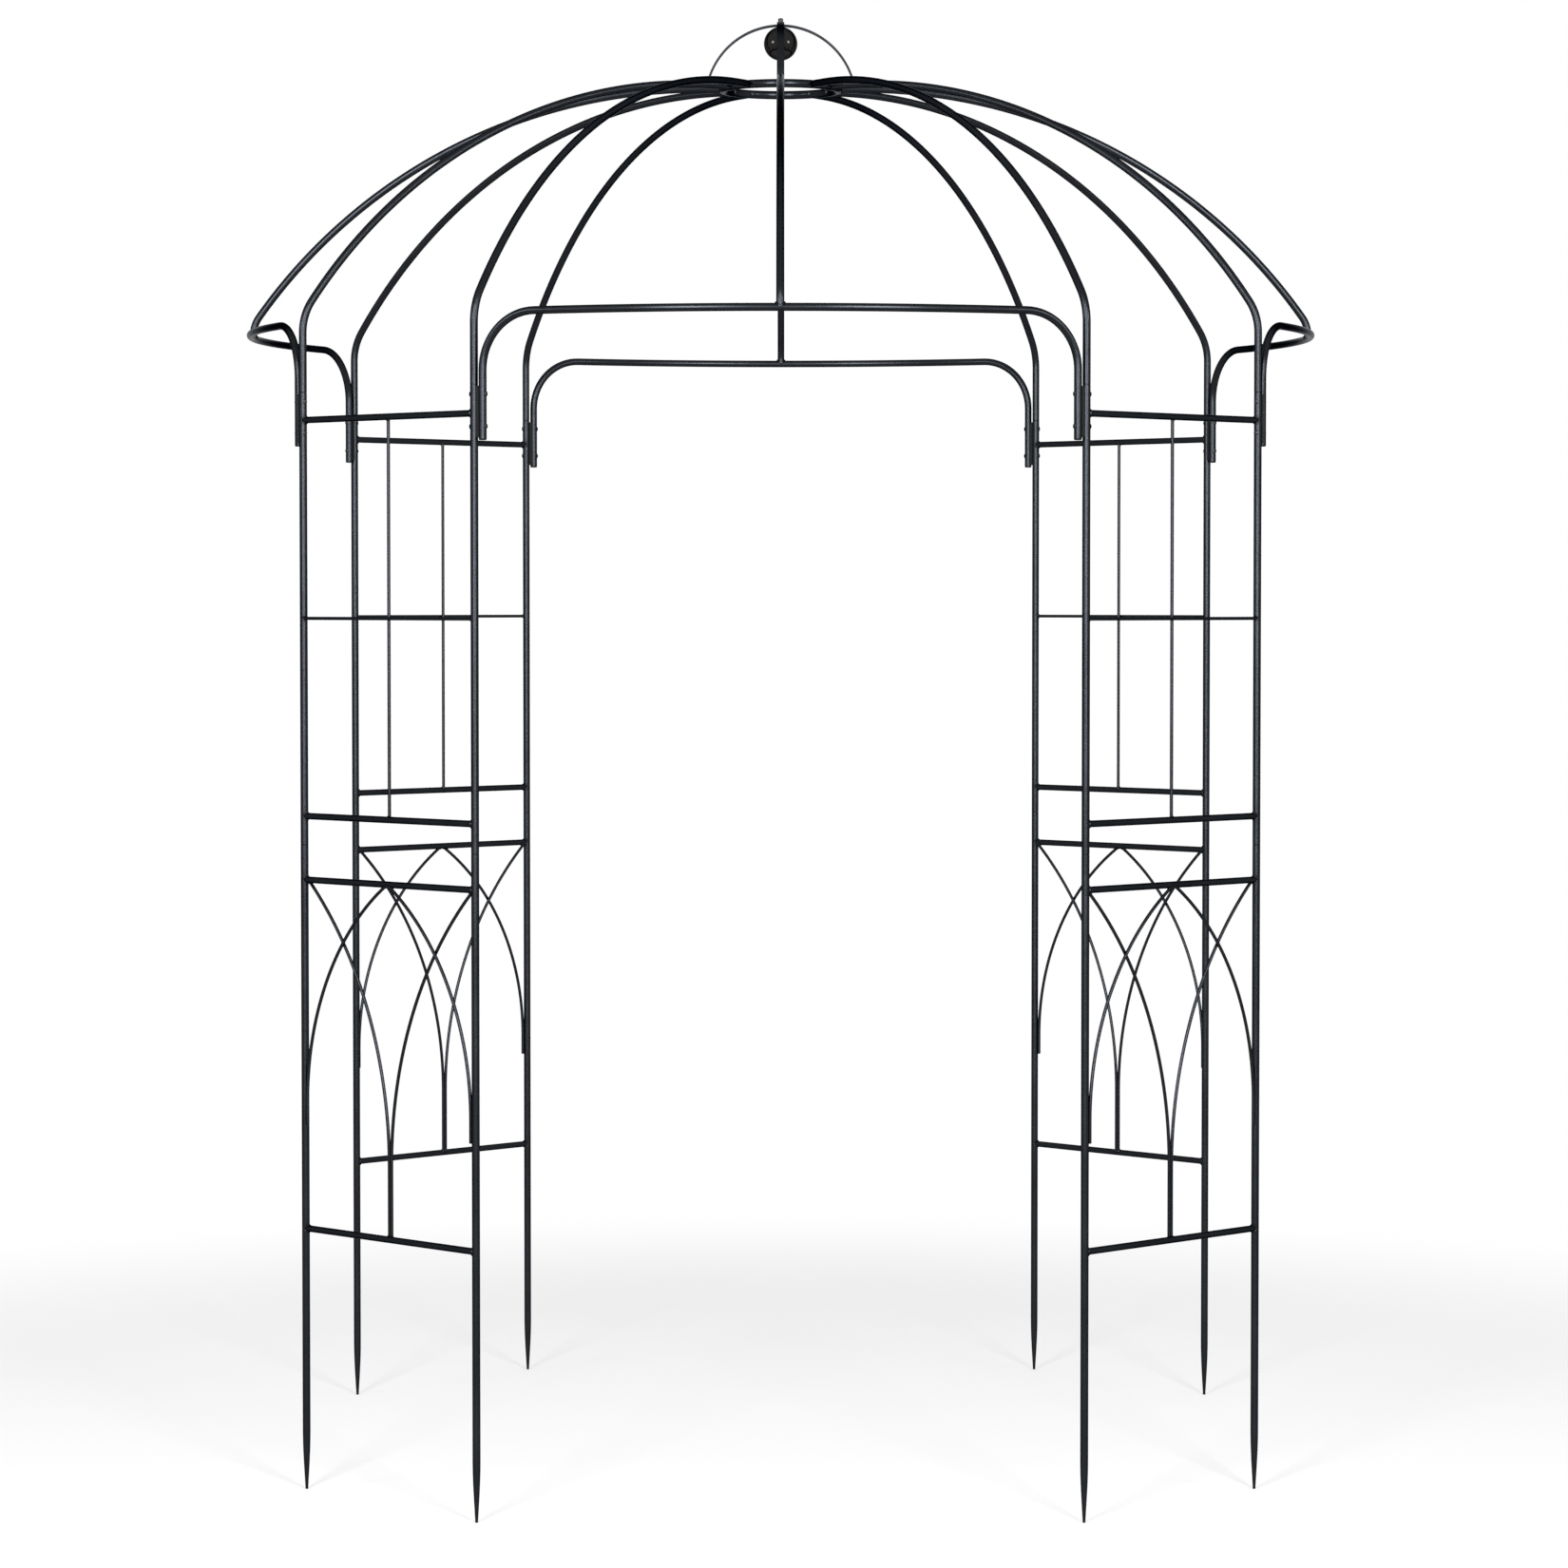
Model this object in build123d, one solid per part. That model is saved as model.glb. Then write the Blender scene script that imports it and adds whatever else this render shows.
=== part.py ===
from build123d import *
import os
from math import asin, atan, atan2, cos, degrees, radians, sin, sqrt

# A round garden pavilion of black steel tube. Eight spiked posts stand on a circle. Four straight
# trellis panels join them in pairs on the diagonals, and the four sides between are open. A bowed
# header tube spans each open side. Twelve bent ribs rise from the posts and headers to a small ring
# that carries a crown of two crossing flat hoops with a ball.
# Units are millimetres and degrees, +Z is up, the spike tips stand on Z = 0, the front faces -Y.

# Driving dimensions: plan
post_circle_radius = 1010.0     # middle of the pavilion to each post axis
post_half_angle = 31.7          # middle of an open side to the post beside it

# Tubes and wires
tube_diameter = 14.0
tube_wall = 1.2
rail_diameter = 12.0
rail_wall = 1.0
wire_diameter = 6.0
wire_gap = 0.1                  # air between wires that cross, run side by side or lie along a post

# Posts: a spiked lower tube, and an upper tube pushed over its swaged end
spike_length = 110.0
spike_tip_diameter = 5.0
post_joint_height = 1170.0
post_top_height = 1985.0
spigot_length = 60.0            # length of a swaged end inside the tube that takes it
spigot_clearance = 0.15         # air round a swaged end
swage_length = 4.0              # where the tube necks down to its swaged end

# Trellis panels
bottom_rail_height = 475.0
lower_mid_rail_drop = 63.0      # lower middle rail below the post joint
upper_mid_rail_rise = 52.0      # upper middle rail above the post joint
top_rail_drop = 50.0            # top rail below the post top
arch_spring_rise = 230.0        # where the outer arch wires meet the posts, above the bottom rail
arch_tail_length = 40.0         # stretch of an outer arch wire that lies along its post
lancet_spring_rise = 130.0      # where the inner lancet wires turn straight, above the bottom rail

# Headers over the open sides
leg_spacing = 18.0              # post axis to header leg axis
header_rise = 125.0             # header crosspiece axis above the post top
header_corner_radius = 100.0
leg_tail_length = 22.0          # header leg below its lower bolt
plug_flange = 2.0
plug_clearance = 0.1

# Bolts that hold the header legs to the posts
bolt_diameter = 5.0
bolt_hole_clearance = 0.25
bolt_above_rail = 33.0
bolt_below_rail = 23.0
bolt_head_diameter = 9.0
bolt_head_height = 2.0
bolt_head_rim = 0.6             # straight edge under the dome of a head
bolt_end_gap = 0.5              # bolt end to the bottom of its sleeve nut's bore
socket_flats = 3.0              # key socket in each bolt head and nut head
socket_depth = 1.2
sleeve_diameter = 7.0           # sleeve nut inside the post
sleeve_length = 9.0
spacer_depth = 9.0              # spacer strip, from its outer to its inner edge
spacer_end_gap = 3.0            # spacer strip short of the leg end and the post top

# Dome ribs and the ring they meet
dome_rise = 598.0               # ring axis above the post top
rib_straight_length = 107.0     # post rib above the post top, before it bends
rib_bend_radius = 100.0
header_rib_stub = 5.5           # header rib above the header axis, before it bends
header_rib_bend_radius = 60.0
ring_radius = 110.0
ring_tube_diameter = 16.0
ring_tube_wall = 1.5
insert_length = 20.0            # threaded plug in the end of each rib
insert_setback = 1.0
screw_diameter = 5.0
screw_head_diameter = 9.0
screw_head_height = 3.5
screw_reach = 14.0              # screw inside the threaded plug
seat_gap = 0.15                 # air under a flat face on a curved tube

# Crown of two crossing flat hoops, a ball and a cap nut
crown_foot_radius = 147.5
crown_rise = 126.5              # top of the upper hoop above the ring axis
hoop_width = 14.0
hoop_thickness = 4.0
ball_diameter = 64.0
stud_diameter = 6.0
stud_depth = 20.0               # stud inside the ball
stud_reach = 6.0                # stud inside the cap nut
cap_nut_flats = 10.0
cap_nut_height = 8.0

# Sizes and places that follow from the driving dimensions
tube_radius = tube_diameter / 2
bore_radius = tube_radius - tube_wall
wire_radius = wire_diameter / 2
spigot_radius = bore_radius - spigot_clearance
spigot_bore = spigot_radius - tube_wall
layer = wire_radius + wire_gap / 2

panel_half_angle = 45.0 - post_half_angle
panel_half_width = post_circle_radius * sin(radians(panel_half_angle))
panel_apothem = post_circle_radius * cos(radians(panel_half_angle))
lower_mid_rail = post_joint_height - lower_mid_rail_drop
upper_mid_rail = post_joint_height + upper_mid_rail_rise
top_rail = post_top_height - top_rail_drop
cross_wire = (upper_mid_rail + top_rail) / 2
bolt_heights = (top_rail + bolt_above_rail, top_rail - bolt_below_rail)
hole_diameter = bolt_diameter + 2 * bolt_hole_clearance

leg_half_angle = post_half_angle - degrees(2 * asin(leg_spacing / (2 * post_circle_radius)))
header_radius = sqrt(post_circle_radius**2 - header_corner_radius**2)
header_end_angle = leg_half_angle - degrees(atan(header_corner_radius / header_radius))
header_height = post_top_height + header_rise
leg_top = header_height - header_corner_radius
leg_end = bolt_heights[1] - leg_tail_length

ring_height = post_top_height + dome_rise
ring_tube_radius = ring_tube_diameter / 2
rib_flat_radius = crown_foot_radius + 2 * hoop_thickness
hoop_radius = (crown_foot_radius**2 + crown_rise**2) / (2 * crown_rise)
hoop_centre = ring_height + crown_rise - hoop_radius
hoop_drop = hoop_thickness + hoop_width**2 / (8 * (hoop_radius - hoop_thickness)) + seat_gap
ball_centre = ring_height + crown_rise - hoop_drop - hoop_thickness - seat_gap - ball_diameter / 2

# The four open sides, each with its posts named as they are seen from outside, left then right,
# and the panel that follows on the right of each
open_sides = (
    ("front", ("left", "right"), "front_right"),
    ("right", ("front", "back"), "back_right"),
    ("back", ("right", "left"), "back_left"),
    ("left", ("back", "front"), "front_left"),
)


def save(node, *pieces):
    """Write one node, with each of its solids on its own."""
    solids = [solid for piece in pieces for solid in piece.solids()]
    shape = solids[0] if len(solids) == 1 else Compound(solids)
    export_step(shape, os.path.join("parts", node + ".step"))
    print(node, len(solids), round(sum(solid.volume for solid in solids)))


def rod(path, diameter):
    """A round bar along a path."""
    section = Plane(origin=path @ 0, z_dir=path % 0) * Circle(diameter / 2)
    return sweep(section, path=path)


def tube(path, diameter, wall):
    """A round tube along a path."""
    circles = Circle(diameter / 2) - Circle(diameter / 2 - wall)
    return sweep(Plane(origin=path @ 0, z_dir=path % 0) * circles, path=path)


def turned(*points):
    """A piece turned about the Z axis from an outline of (radius, height) points."""
    outline = make_face(Polyline(*[(r, 0, z) for r, z in points], close=True))
    return revolve(outline, axis=Axis.Z)


def bar_between(start, end, diameter):
    """A straight round bar from one point to another."""
    return rod(Wire([Edge.make_line(start, end)]), diameter)


def hex_between(start, end, flats):
    """A straight hexagonal bar from one point to another."""
    along = Vector(end) - Vector(start)
    section = Plane(origin=start, z_dir=along) * RegularPolygon(flats / 2, 6, major_radius=False)
    return extrude(section, along.length)


def on_circle(radius, angle, height):
    """A point of the front side, at an angle from the middle of its opening."""
    return Vector(radius * sin(radians(angle)), -radius * cos(radians(angle)), height)


# Posts


def lower_post():
    """Spiked tube whose upper end is swaged to go into the upper post."""
    return turned(
        (0, 0),
        (spike_tip_diameter / 2, 0),
        (tube_radius, spike_length),
        (tube_radius, post_joint_height),
        (spigot_radius, post_joint_height),
        (spigot_radius, post_joint_height + spigot_length),
        (spigot_bore, post_joint_height + spigot_length),
        (spigot_bore, post_joint_height - swage_length),
        (bore_radius, post_joint_height - swage_length - tube_wall),
        (bore_radius, spike_length),
        (0, spike_length - bore_radius),
    )


def bolt_line(side, height):
    """The point on the header leg's axis, the point on the post's axis, and the way between them."""
    leg = on_circle(post_circle_radius, side * leg_half_angle, height)
    post = on_circle(post_circle_radius, side * post_half_angle, height)
    return leg, post, (post - leg).normalized()


def bolt_holes(side):
    """The two drillings through a header leg and its post, wider where the sleeve nut goes in."""
    holes = []
    for height in bolt_heights:
        leg, post, along = bolt_line(side, height)
        far = post + along * tube_diameter
        sleeve_start = post + along * (tube_radius - sleeve_length)
        sleeve_hole = bar_between(sleeve_start, far, sleeve_diameter + 2 * bolt_hole_clearance)
        holes.append(bar_between(leg - along * tube_diameter, far, hole_diameter) + sleeve_hole)
    return holes


def upper_post(side):
    """Plain tube from the joint to the post top, drilled for the header bolts."""
    profile = turned(
        (bore_radius, post_joint_height),
        (tube_radius, post_joint_height),
        (tube_radius, post_top_height),
        (bore_radius, post_top_height),
    )
    return Pos(on_circle(post_circle_radius, side * post_half_angle, 0)) * profile - bolt_holes(side)


# Trellis panels, drawn in the XZ plane with their middle at X = 0 and the outside at -Y


def panel_posts():
    """The two posts beside a panel as plain bars, to cut the ends that are welded to them."""
    posts = []
    for axis in (-panel_half_width, panel_half_width):
        posts.append(bar_between((axis, 0, 0), (axis, 0, post_top_height), tube_diameter))
    return posts


def rail_bar(height):
    """A panel's rail as a plain bar, to cut the wire ends that are welded to it."""
    return bar_between((-panel_half_width, 0, height), (panel_half_width, 0, height), rail_diameter)


def rails():
    """The four rails of a panel, their ends hollowed to fit the posts."""
    pieces = []
    for height in (bottom_rail_height, lower_mid_rail, upper_mid_rail, top_rail):
        path = Wire([Edge.make_line((-panel_half_width, 0, height), (panel_half_width, 0, height))])
        pieces.append(tube(path, rail_diameter, rail_wall) - panel_posts())
    return pieces


def lattice_wires():
    """The upright wire and the cross wire of the upper trellis, lying against each other."""
    upright = bar_between((0, layer, upper_mid_rail), (0, layer, top_rail), wire_diameter)
    cross = bar_between(
        (-panel_half_width, -layer, cross_wire), (panel_half_width, -layer, cross_wire), wire_diameter
    )
    return upright - [rail_bar(upper_mid_rail), rail_bar(top_rail)], cross - panel_posts()


def arch_wire():
    """The right outer wire: from the middle of the rail it bends out to lie along the post."""
    spring = bottom_rail_height + arch_spring_rise
    rise = lower_mid_rail - spring
    touch = tube_radius + wire_radius + wire_gap
    reach = panel_half_width - sqrt(touch**2 - layer**2)
    radius = (reach**2 + rise**2) / (2 * reach)
    centre = reach - radius
    past_middle = degrees(atan2(sqrt(radius**2 - (centre + wire_diameter) ** 2), -centre - wire_diameter))
    turn = [radians(past_middle), radians(past_middle / 2), 0]
    points = [(centre + radius * cos(a), -layer, spring + radius * sin(a)) for a in turn]
    tail = (reach, -layer, spring - arch_tail_length)
    path = Wire([Edge.make_three_point_arc(*points), Edge.make_line(points[2], tail)])
    right_half = Pos(panel_half_width + wire_gap / 2, 0, spring) * Box(
        2 * panel_half_width, 4 * rail_diameter, 4 * rise
    )
    return rod(path, wire_diameter) & right_half


def lancet_wire():
    """The right inner wire: from the corner of post and rail it bends in and runs down the middle."""
    spring = bottom_rail_height + lancet_spring_rise
    rise = lower_mid_rail - spring
    reach = panel_half_width - tube_radius - layer
    radius = (reach**2 + rise**2) / (2 * reach)
    centre = layer + radius
    corner = degrees(asin((rise + wire_radius / 2) / radius))
    turn = [radians(corner), radians(corner / 2), 0]
    points = [(centre - radius * cos(a), layer, spring + radius * sin(a)) for a in turn]
    path = Wire([
        Edge.make_three_point_arc(*points),
        Edge.make_line(points[2], (layer, layer, bottom_rail_height)),
    ])
    return rod(path, wire_diameter) - panel_posts()


def arch_wires():
    """The four bent wires of the lower trellis."""
    right = [
        arch_wire() - rail_bar(lower_mid_rail),
        lancet_wire() - [rail_bar(lower_mid_rail), rail_bar(bottom_rail_height)],
    ]
    return right + [mirror(piece, about=Plane.YZ) for piece in right]


# Headers


def header_path():
    """Leg, corner, bowed crosspiece, corner and leg of the front header, as one line."""
    edges = []
    for side in (-1, 1):
        foot = on_circle(post_circle_radius, side * leg_half_angle, leg_end)
        top = on_circle(post_circle_radius, side * leg_half_angle, leg_top)
        end = on_circle(header_radius, side * header_end_angle, header_height)
        inward = Vector(end.X - top.X, end.Y - top.Y, 0).normalized()
        corner = Vector(end.X, end.Y, leg_top)
        halfway = corner + (Vector(0, 0, 1) - inward) * (header_corner_radius * sqrt(0.5))
        if side < 0:
            edges.append(Edge.make_line(foot, top))
            edges.append(Edge.make_three_point_arc(top, halfway, end))
            edges.append(Edge.make_three_point_arc(
                end,
                on_circle(header_radius, 0, header_height),
                on_circle(header_radius, -side * header_end_angle, header_height),
            ))
        else:
            edges.append(Edge.make_three_point_arc(end, halfway, top))
            edges.append(Edge.make_line(top, foot))
    return Wire(edges)


def header():
    """The bent header tube, drilled for its bolts."""
    return tube(header_path(), tube_diameter, tube_wall) - bolt_holes(-1) - bolt_holes(1)


def leg_plug(side):
    """The plastic plug that closes the lower end of a header leg."""
    stem_radius = bore_radius - plug_clearance
    plug = turned(
        (0, leg_end - plug_flange),
        (tube_radius - plug_flange / 2, leg_end - plug_flange),
        (tube_radius, leg_end - plug_flange / 2),
        (tube_radius, leg_end),
        (stem_radius, leg_end),
        (stem_radius, leg_end + leg_tail_length / 2),
        (0, leg_end + leg_tail_length / 2),
    )
    return Pos(on_circle(post_circle_radius, side * leg_half_angle, 0)) * plug


# Header fasteners


def domed_head(seat, way):
    """A low domed head with a key socket, standing on its seat and facing along way."""
    edge = bolt_head_diameter / 2
    rise = bolt_head_height - bolt_head_rim
    dome_radius = (edge**2 + rise**2) / (2 * rise)
    half_turn = asin(edge / dome_radius) / 2
    on_dome = (dome_radius * sin(half_turn), 0, bolt_head_height - dome_radius * (1 - cos(half_turn)))
    outline = Wire([
        Edge.make_line((0, 0, 0), (edge, 0, 0)),
        Edge.make_line((edge, 0, 0), (edge, 0, bolt_head_rim)),
        Edge.make_three_point_arc((edge, 0, bolt_head_rim), on_dome, (0, 0, bolt_head_height)),
        Edge.make_line((0, 0, bolt_head_height), (0, 0, 0)),
    ])
    socket_floor = bolt_head_height - socket_depth
    socket = hex_between((0, 0, socket_floor), (0, 0, bolt_head_height), socket_flats)
    head = revolve(make_face(outline), axis=Axis.Z) - socket
    return Plane(origin=seat, z_dir=way) * head


def header_bolts(side):
    """The two bolts of a header leg, heads on the open side."""
    bolts = []
    for height in bolt_heights:
        leg, post, along = bolt_line(side, height)
        seat = leg - along * tube_radius
        tip = post + along * (tube_radius - bolt_end_gap)
        bolts.append(domed_head(seat, -along) + bar_between(seat, tip, bolt_diameter))
    return bolts


def header_nuts(side):
    """The sleeve nuts of those bolts, pushed in from the panel side of the post."""
    nuts = []
    for height in bolt_heights:
        leg, post, along = bolt_line(side, height)
        seat = post + along * tube_radius
        inner = seat - along * sleeve_length
        sleeve = bar_between(inner, seat, sleeve_diameter)
        nuts.append(domed_head(seat, along) + sleeve - bar_between(inner, seat, bolt_diameter))
    return nuts


def spacer(side):
    """The strip that the two bolts hold between header leg and post, hollowed to fit both."""
    low, high = leg_end + spacer_end_gap, post_top_height - spacer_end_gap
    leg, post, along = bolt_line(side, low)
    up = Vector(0, 0, high - low)
    middle = Plane(origin=(leg + post) / 2, x_dir=along, z_dir=up)
    section = middle * Rectangle(leg_spacing, spacer_depth)
    tubes = [bar_between(axis, axis + up, tube_diameter) for axis in (leg, post)]
    return extrude(section, high - low) - tubes - bolt_holes(side)


# Dome ribs, drawn in the XZ plane with X as the distance from the middle


def rib_path(start_radius, start_height, bend_height, bend_radius):
    """Straight up, a bend, a long arc of the dome, and level into the ring."""
    across = start_radius - rib_flat_radius - bend_radius
    slope = 2 * atan((ring_height - bend_height - bend_radius) / across)
    dome_radius = bend_radius + across / sin(slope)
    lean = radians(90) - slope

    def on_bend(angle):
        return (start_radius - bend_radius * (1 - cos(angle)), 0, bend_height + bend_radius * sin(angle))

    def on_dome(angle):
        return (rib_flat_radius + dome_radius * sin(angle), 0, ring_height - dome_radius * (1 - cos(angle)))

    knee = on_dome(slope)
    return Wire([
        Edge.make_line((start_radius, 0, start_height), on_bend(0)),
        Edge.make_three_point_arc(on_bend(0), on_bend(lean / 2), knee),
        Edge.make_three_point_arc(knee, on_dome(slope / 2), on_dome(0)),
        Edge.make_line(on_dome(0), (ring_radius, 0, ring_height)),
    ])


def ring_blank(diameter):
    """The ring as a full round bar."""
    return Pos(0, 0, ring_height) * Torus(ring_radius, diameter / 2)


def post_rib():
    """A rib that plugs into a post top with its swaged end and meets the ring."""
    start = post_top_height + swage_length
    path = rib_path(post_circle_radius, start, post_top_height + rib_straight_length, rib_bend_radius)
    plug = turned(
        (spigot_bore, post_top_height - spigot_length),
        (spigot_radius, post_top_height - spigot_length),
        (spigot_radius, post_top_height),
        (tube_radius, post_top_height),
        (tube_radius, start),
        (spigot_bore, start),
    )
    rib = tube(path, tube_diameter, tube_wall) - ring_blank(ring_tube_diameter)
    return rib + Pos(post_circle_radius, 0, 0) * plug


def pinned_rib(side):
    """A post rib of the front side, its plug drilled for the upper header bolt."""
    turn = side * post_half_angle - 90
    return Rot(0, 0, turn) * post_rib() - bolt_holes(side)[0]


def header_rib():
    """A rib that stands on the middle of the front header and meets the ring."""
    path = rib_path(
        header_radius, header_height, header_height + header_rib_stub, header_rib_bend_radius
    )
    rib = Rot(0, 0, -90) * tube(path, tube_diameter, tube_wall)
    return rib - ring_blank(ring_tube_diameter) - rod(header_path(), tube_diameter)


# Ring, and the screws and threaded plugs that hold the ribs to it

rib_turns = [90 * turn + angle for turn in range(4) for angle in (0, post_half_angle, -post_half_angle)]
ring_outside = ring_radius + ring_tube_radius
ring_inside = ring_radius - ring_tube_radius


def rib_ends(piece):
    """One copy of a piece drawn along +X for each rib."""
    return [Rot(0, 0, turn - 90) * piece for turn in rib_turns]


def along_rib(start_radius, end_radius, diameter):
    """A round bar along a rib's level end."""
    return bar_between((start_radius, 0, ring_height), (end_radius, 0, ring_height), diameter)


def ring():
    """The crown ring, bent from tube in two halves, with a drilling for each rib's screw."""
    bends = [on_circle(ring_radius, angle, ring_height) for angle in (-45, 45, 135)]
    half = tube(Wire([Edge.make_three_point_arc(*bends)]), ring_tube_diameter, ring_tube_wall)
    reach = ring_tube_diameter
    hole = along_rib(ring_radius - reach, ring_radius + reach, screw_diameter + 2 * bolt_hole_clearance)
    return (half - rib_ends(hole)) + (Rot(0, 0, 180) * half - rib_ends(hole))


def rib_insert():
    """The threaded plug in a rib's end."""
    start = ring_outside + insert_setback
    blank = along_rib(start, start + insert_length, 2 * (bore_radius - plug_clearance))
    return blank - along_rib(start, start + insert_length, screw_diameter)


def ring_screw():
    """The screw that goes through the ring into a rib's threaded plug, head inside the ring."""
    seat = ring_inside - seat_gap
    head = along_rib(seat - screw_head_height, seat, screw_head_diameter)
    return head + along_rib(seat, ring_outside + insert_setback + screw_reach, screw_diameter)


# Crown


def hoop(outer_radius):
    """A flat hoop across the front and back ribs, its feet hollowed to stand on them."""
    band = Cylinder(outer_radius, hoop_width) - Cylinder(outer_radius - hoop_thickness, hoop_width)
    upright = Pos(0, 0, hoop_centre) * Rot(0, 90, 0) * band
    above_ribs = Pos(0, 0, ring_height + crown_rise) * Box(
        4 * crown_foot_radius, 4 * crown_foot_radius, 2 * crown_rise
    )
    under_feet = bar_between(
        (0, -rib_flat_radius, ring_height), (0, rib_flat_radius, ring_height), tube_diameter
    )
    hole_top = hoop_centre + 2 * hoop_radius
    hole = bar_between((0, 0, hoop_centre), (0, 0, hole_top), stud_diameter + 2 * seat_gap)
    return (upright & above_ribs) - under_feet - hole


def finial_stud():
    """The stud that joins ball, hoops and cap nut."""
    low = ball_centre + ball_diameter / 2 - stud_depth
    return bar_between((0, 0, low), (0, 0, ring_height + crown_rise + stud_reach), stud_diameter)


def finial_ball():
    """The ball under the crossing of the hoops, drilled for its stud."""
    low = ball_centre + ball_diameter / 2 - stud_depth
    hole = bar_between((0, 0, low), (0, 0, ball_centre + ball_diameter), stud_diameter)
    return Pos(0, 0, ball_centre) * Sphere(ball_diameter / 2) - hole


def cap_nut():
    """The domed nut on top of the crossing."""
    seat = ring_height + crown_rise
    dome_radius = cap_nut_flats / 2
    base = hex_between((0, 0, seat), (0, 0, seat + cap_nut_height - dome_radius), cap_nut_flats)
    dome = Pos(0, 0, seat + cap_nut_height - dome_radius) * Sphere(dome_radius)
    below_seat = Pos(0, 0, seat - cap_nut_height) * Box(
        2 * cap_nut_flats, 2 * cap_nut_flats, 2 * cap_nut_height
    )
    return base + dome - below_seat - bar_between((0, 0, seat), (0, 0, seat + stud_reach), stud_diameter)


# Build every node: the pieces of the front side and of one panel, turned to their places

os.makedirs("parts", exist_ok=True)
sides = (-1, 1)
post = lower_post()
upper_posts = [upper_post(side) for side in sides]
post_ribs = [pinned_rib(side) for side in sides]
front_header = header()
front_header_rib = header_rib()
panel_rails = rails()
panel_lattice = lattice_wires()
panel_arches = arch_wires()
bolts = [bolt for side in sides for bolt in header_bolts(side)]
nuts = [nut for side in sides for nut in header_nuts(side)]
strips = [spacer(side) for side in sides]
plugs = [leg_plug(side) for side in sides]

for index, (side_name, post_names, panel_name) in enumerate(open_sides):
    turn = Rot(0, 0, 90 * index)
    for side, name in enumerate(post_names):
        place = turn * Pos(on_circle(post_circle_radius, sides[side] * post_half_angle, 0))
        save(f"lower_post_{side_name}_{name}", place * post)
        save(f"upper_post_{side_name}_{name}", turn * upper_posts[side])
        save(f"post_rib_{side_name}_{name}", turn * post_ribs[side])
    save(f"header_{side_name}", turn * front_header)
    save(f"header_rib_{side_name}", turn * front_header_rib)
    panel = Rot(0, 0, 90 * index + 45) * Pos(0, -panel_apothem, 0)
    save(f"rails_{panel_name}", *[panel * rail for rail in panel_rails])
    save(f"lattice_wires_{panel_name}", *[panel * wire for wire in panel_lattice])
    save(f"arch_wires_{panel_name}", *[panel * wire for wire in panel_arches])

quarter_turns = [Rot(0, 0, 90 * index) for index in range(4)]
save("header_bolts", *[turn * piece for turn in quarter_turns for piece in bolts])
save("header_nuts", *[turn * piece for turn in quarter_turns for piece in nuts])
save("spacer_saddles", *[turn * piece for turn in quarter_turns for piece in strips])
save("leg_plugs", *[turn * piece for turn in quarter_turns for piece in plugs])

save("crown_ring", ring())
save("rib_inserts", *rib_ends(rib_insert()))
save("ring_screws", *rib_ends(ring_screw()))
save("crown_hoop_upper", hoop(hoop_radius))
save("crown_hoop_lower", Rot(0, 0, 90) * hoop(hoop_radius - hoop_drop))
save("finial_ball", finial_ball())
save("finial_stud", finial_stud())
save("finial_cap_nut", cap_nut())
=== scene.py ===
# %% [markdown]
# # A round garden pavilion of black steel tube
# The pavilion is a frame of bent and welded tube, finished in satin black powder coat. Eight spiked
# posts carry four trellis panels, four bowed headers and a dome of twelve ribs under a small crown.
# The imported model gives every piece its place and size. This lesson dresses it: each tube is drawn
# again as a smooth surface with rounded ends, weld beads and real fasteners, and gets its finish.

# %% Load the frame
import bpy
import numpy as np
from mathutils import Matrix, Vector


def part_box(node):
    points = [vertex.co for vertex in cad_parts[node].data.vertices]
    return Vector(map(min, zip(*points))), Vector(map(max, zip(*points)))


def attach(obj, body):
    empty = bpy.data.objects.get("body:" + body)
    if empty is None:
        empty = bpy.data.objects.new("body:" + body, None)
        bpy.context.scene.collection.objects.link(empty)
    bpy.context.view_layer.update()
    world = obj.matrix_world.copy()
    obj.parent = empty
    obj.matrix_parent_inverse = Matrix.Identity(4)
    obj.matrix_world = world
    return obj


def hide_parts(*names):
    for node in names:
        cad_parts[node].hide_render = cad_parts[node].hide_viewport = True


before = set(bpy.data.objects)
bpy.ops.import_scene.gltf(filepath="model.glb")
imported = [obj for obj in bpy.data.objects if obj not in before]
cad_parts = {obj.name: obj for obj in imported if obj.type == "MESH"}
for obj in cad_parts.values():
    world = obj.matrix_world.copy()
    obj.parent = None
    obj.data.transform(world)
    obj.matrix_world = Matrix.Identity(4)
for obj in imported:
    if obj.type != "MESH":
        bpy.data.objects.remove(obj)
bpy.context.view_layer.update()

# %% [markdown]
# ## Surfaces as grids
# Tube could be made from Blender's curve objects with a bevel, but their ends are always cut
# square. Here a surface is a grid of points: one way runs along the piece, the other goes round it.
# The ends can then be hollowed to fit the tube they are welded to, with a formula and no Boolean
# cut. All lengths are in metres, and angles are written in degrees.

# %% Grid helpers
TUBE_SIDES = 32
WIRE_SIDES = 16
UP = np.array([0, 0, 1.0])
MIRROR = np.array([-1, 1, 1])      # changes left and right


def unit(vectors):
    """Each vector divided by its own length."""
    return vectors / np.linalg.norm(vectors, axis=-1, keepdims=True)


def round_angles(sides):
    """Angles of a circle's points, once round, in radians."""
    return np.arange(sides) * (2 * np.pi / sides)


def points_at(x, y, z):
    """Points (x, y, z) from three coordinates, each a number or an array, stretched to one shape."""
    return np.stack(np.broadcast_arrays(x, y, z), axis=-1)


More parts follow.
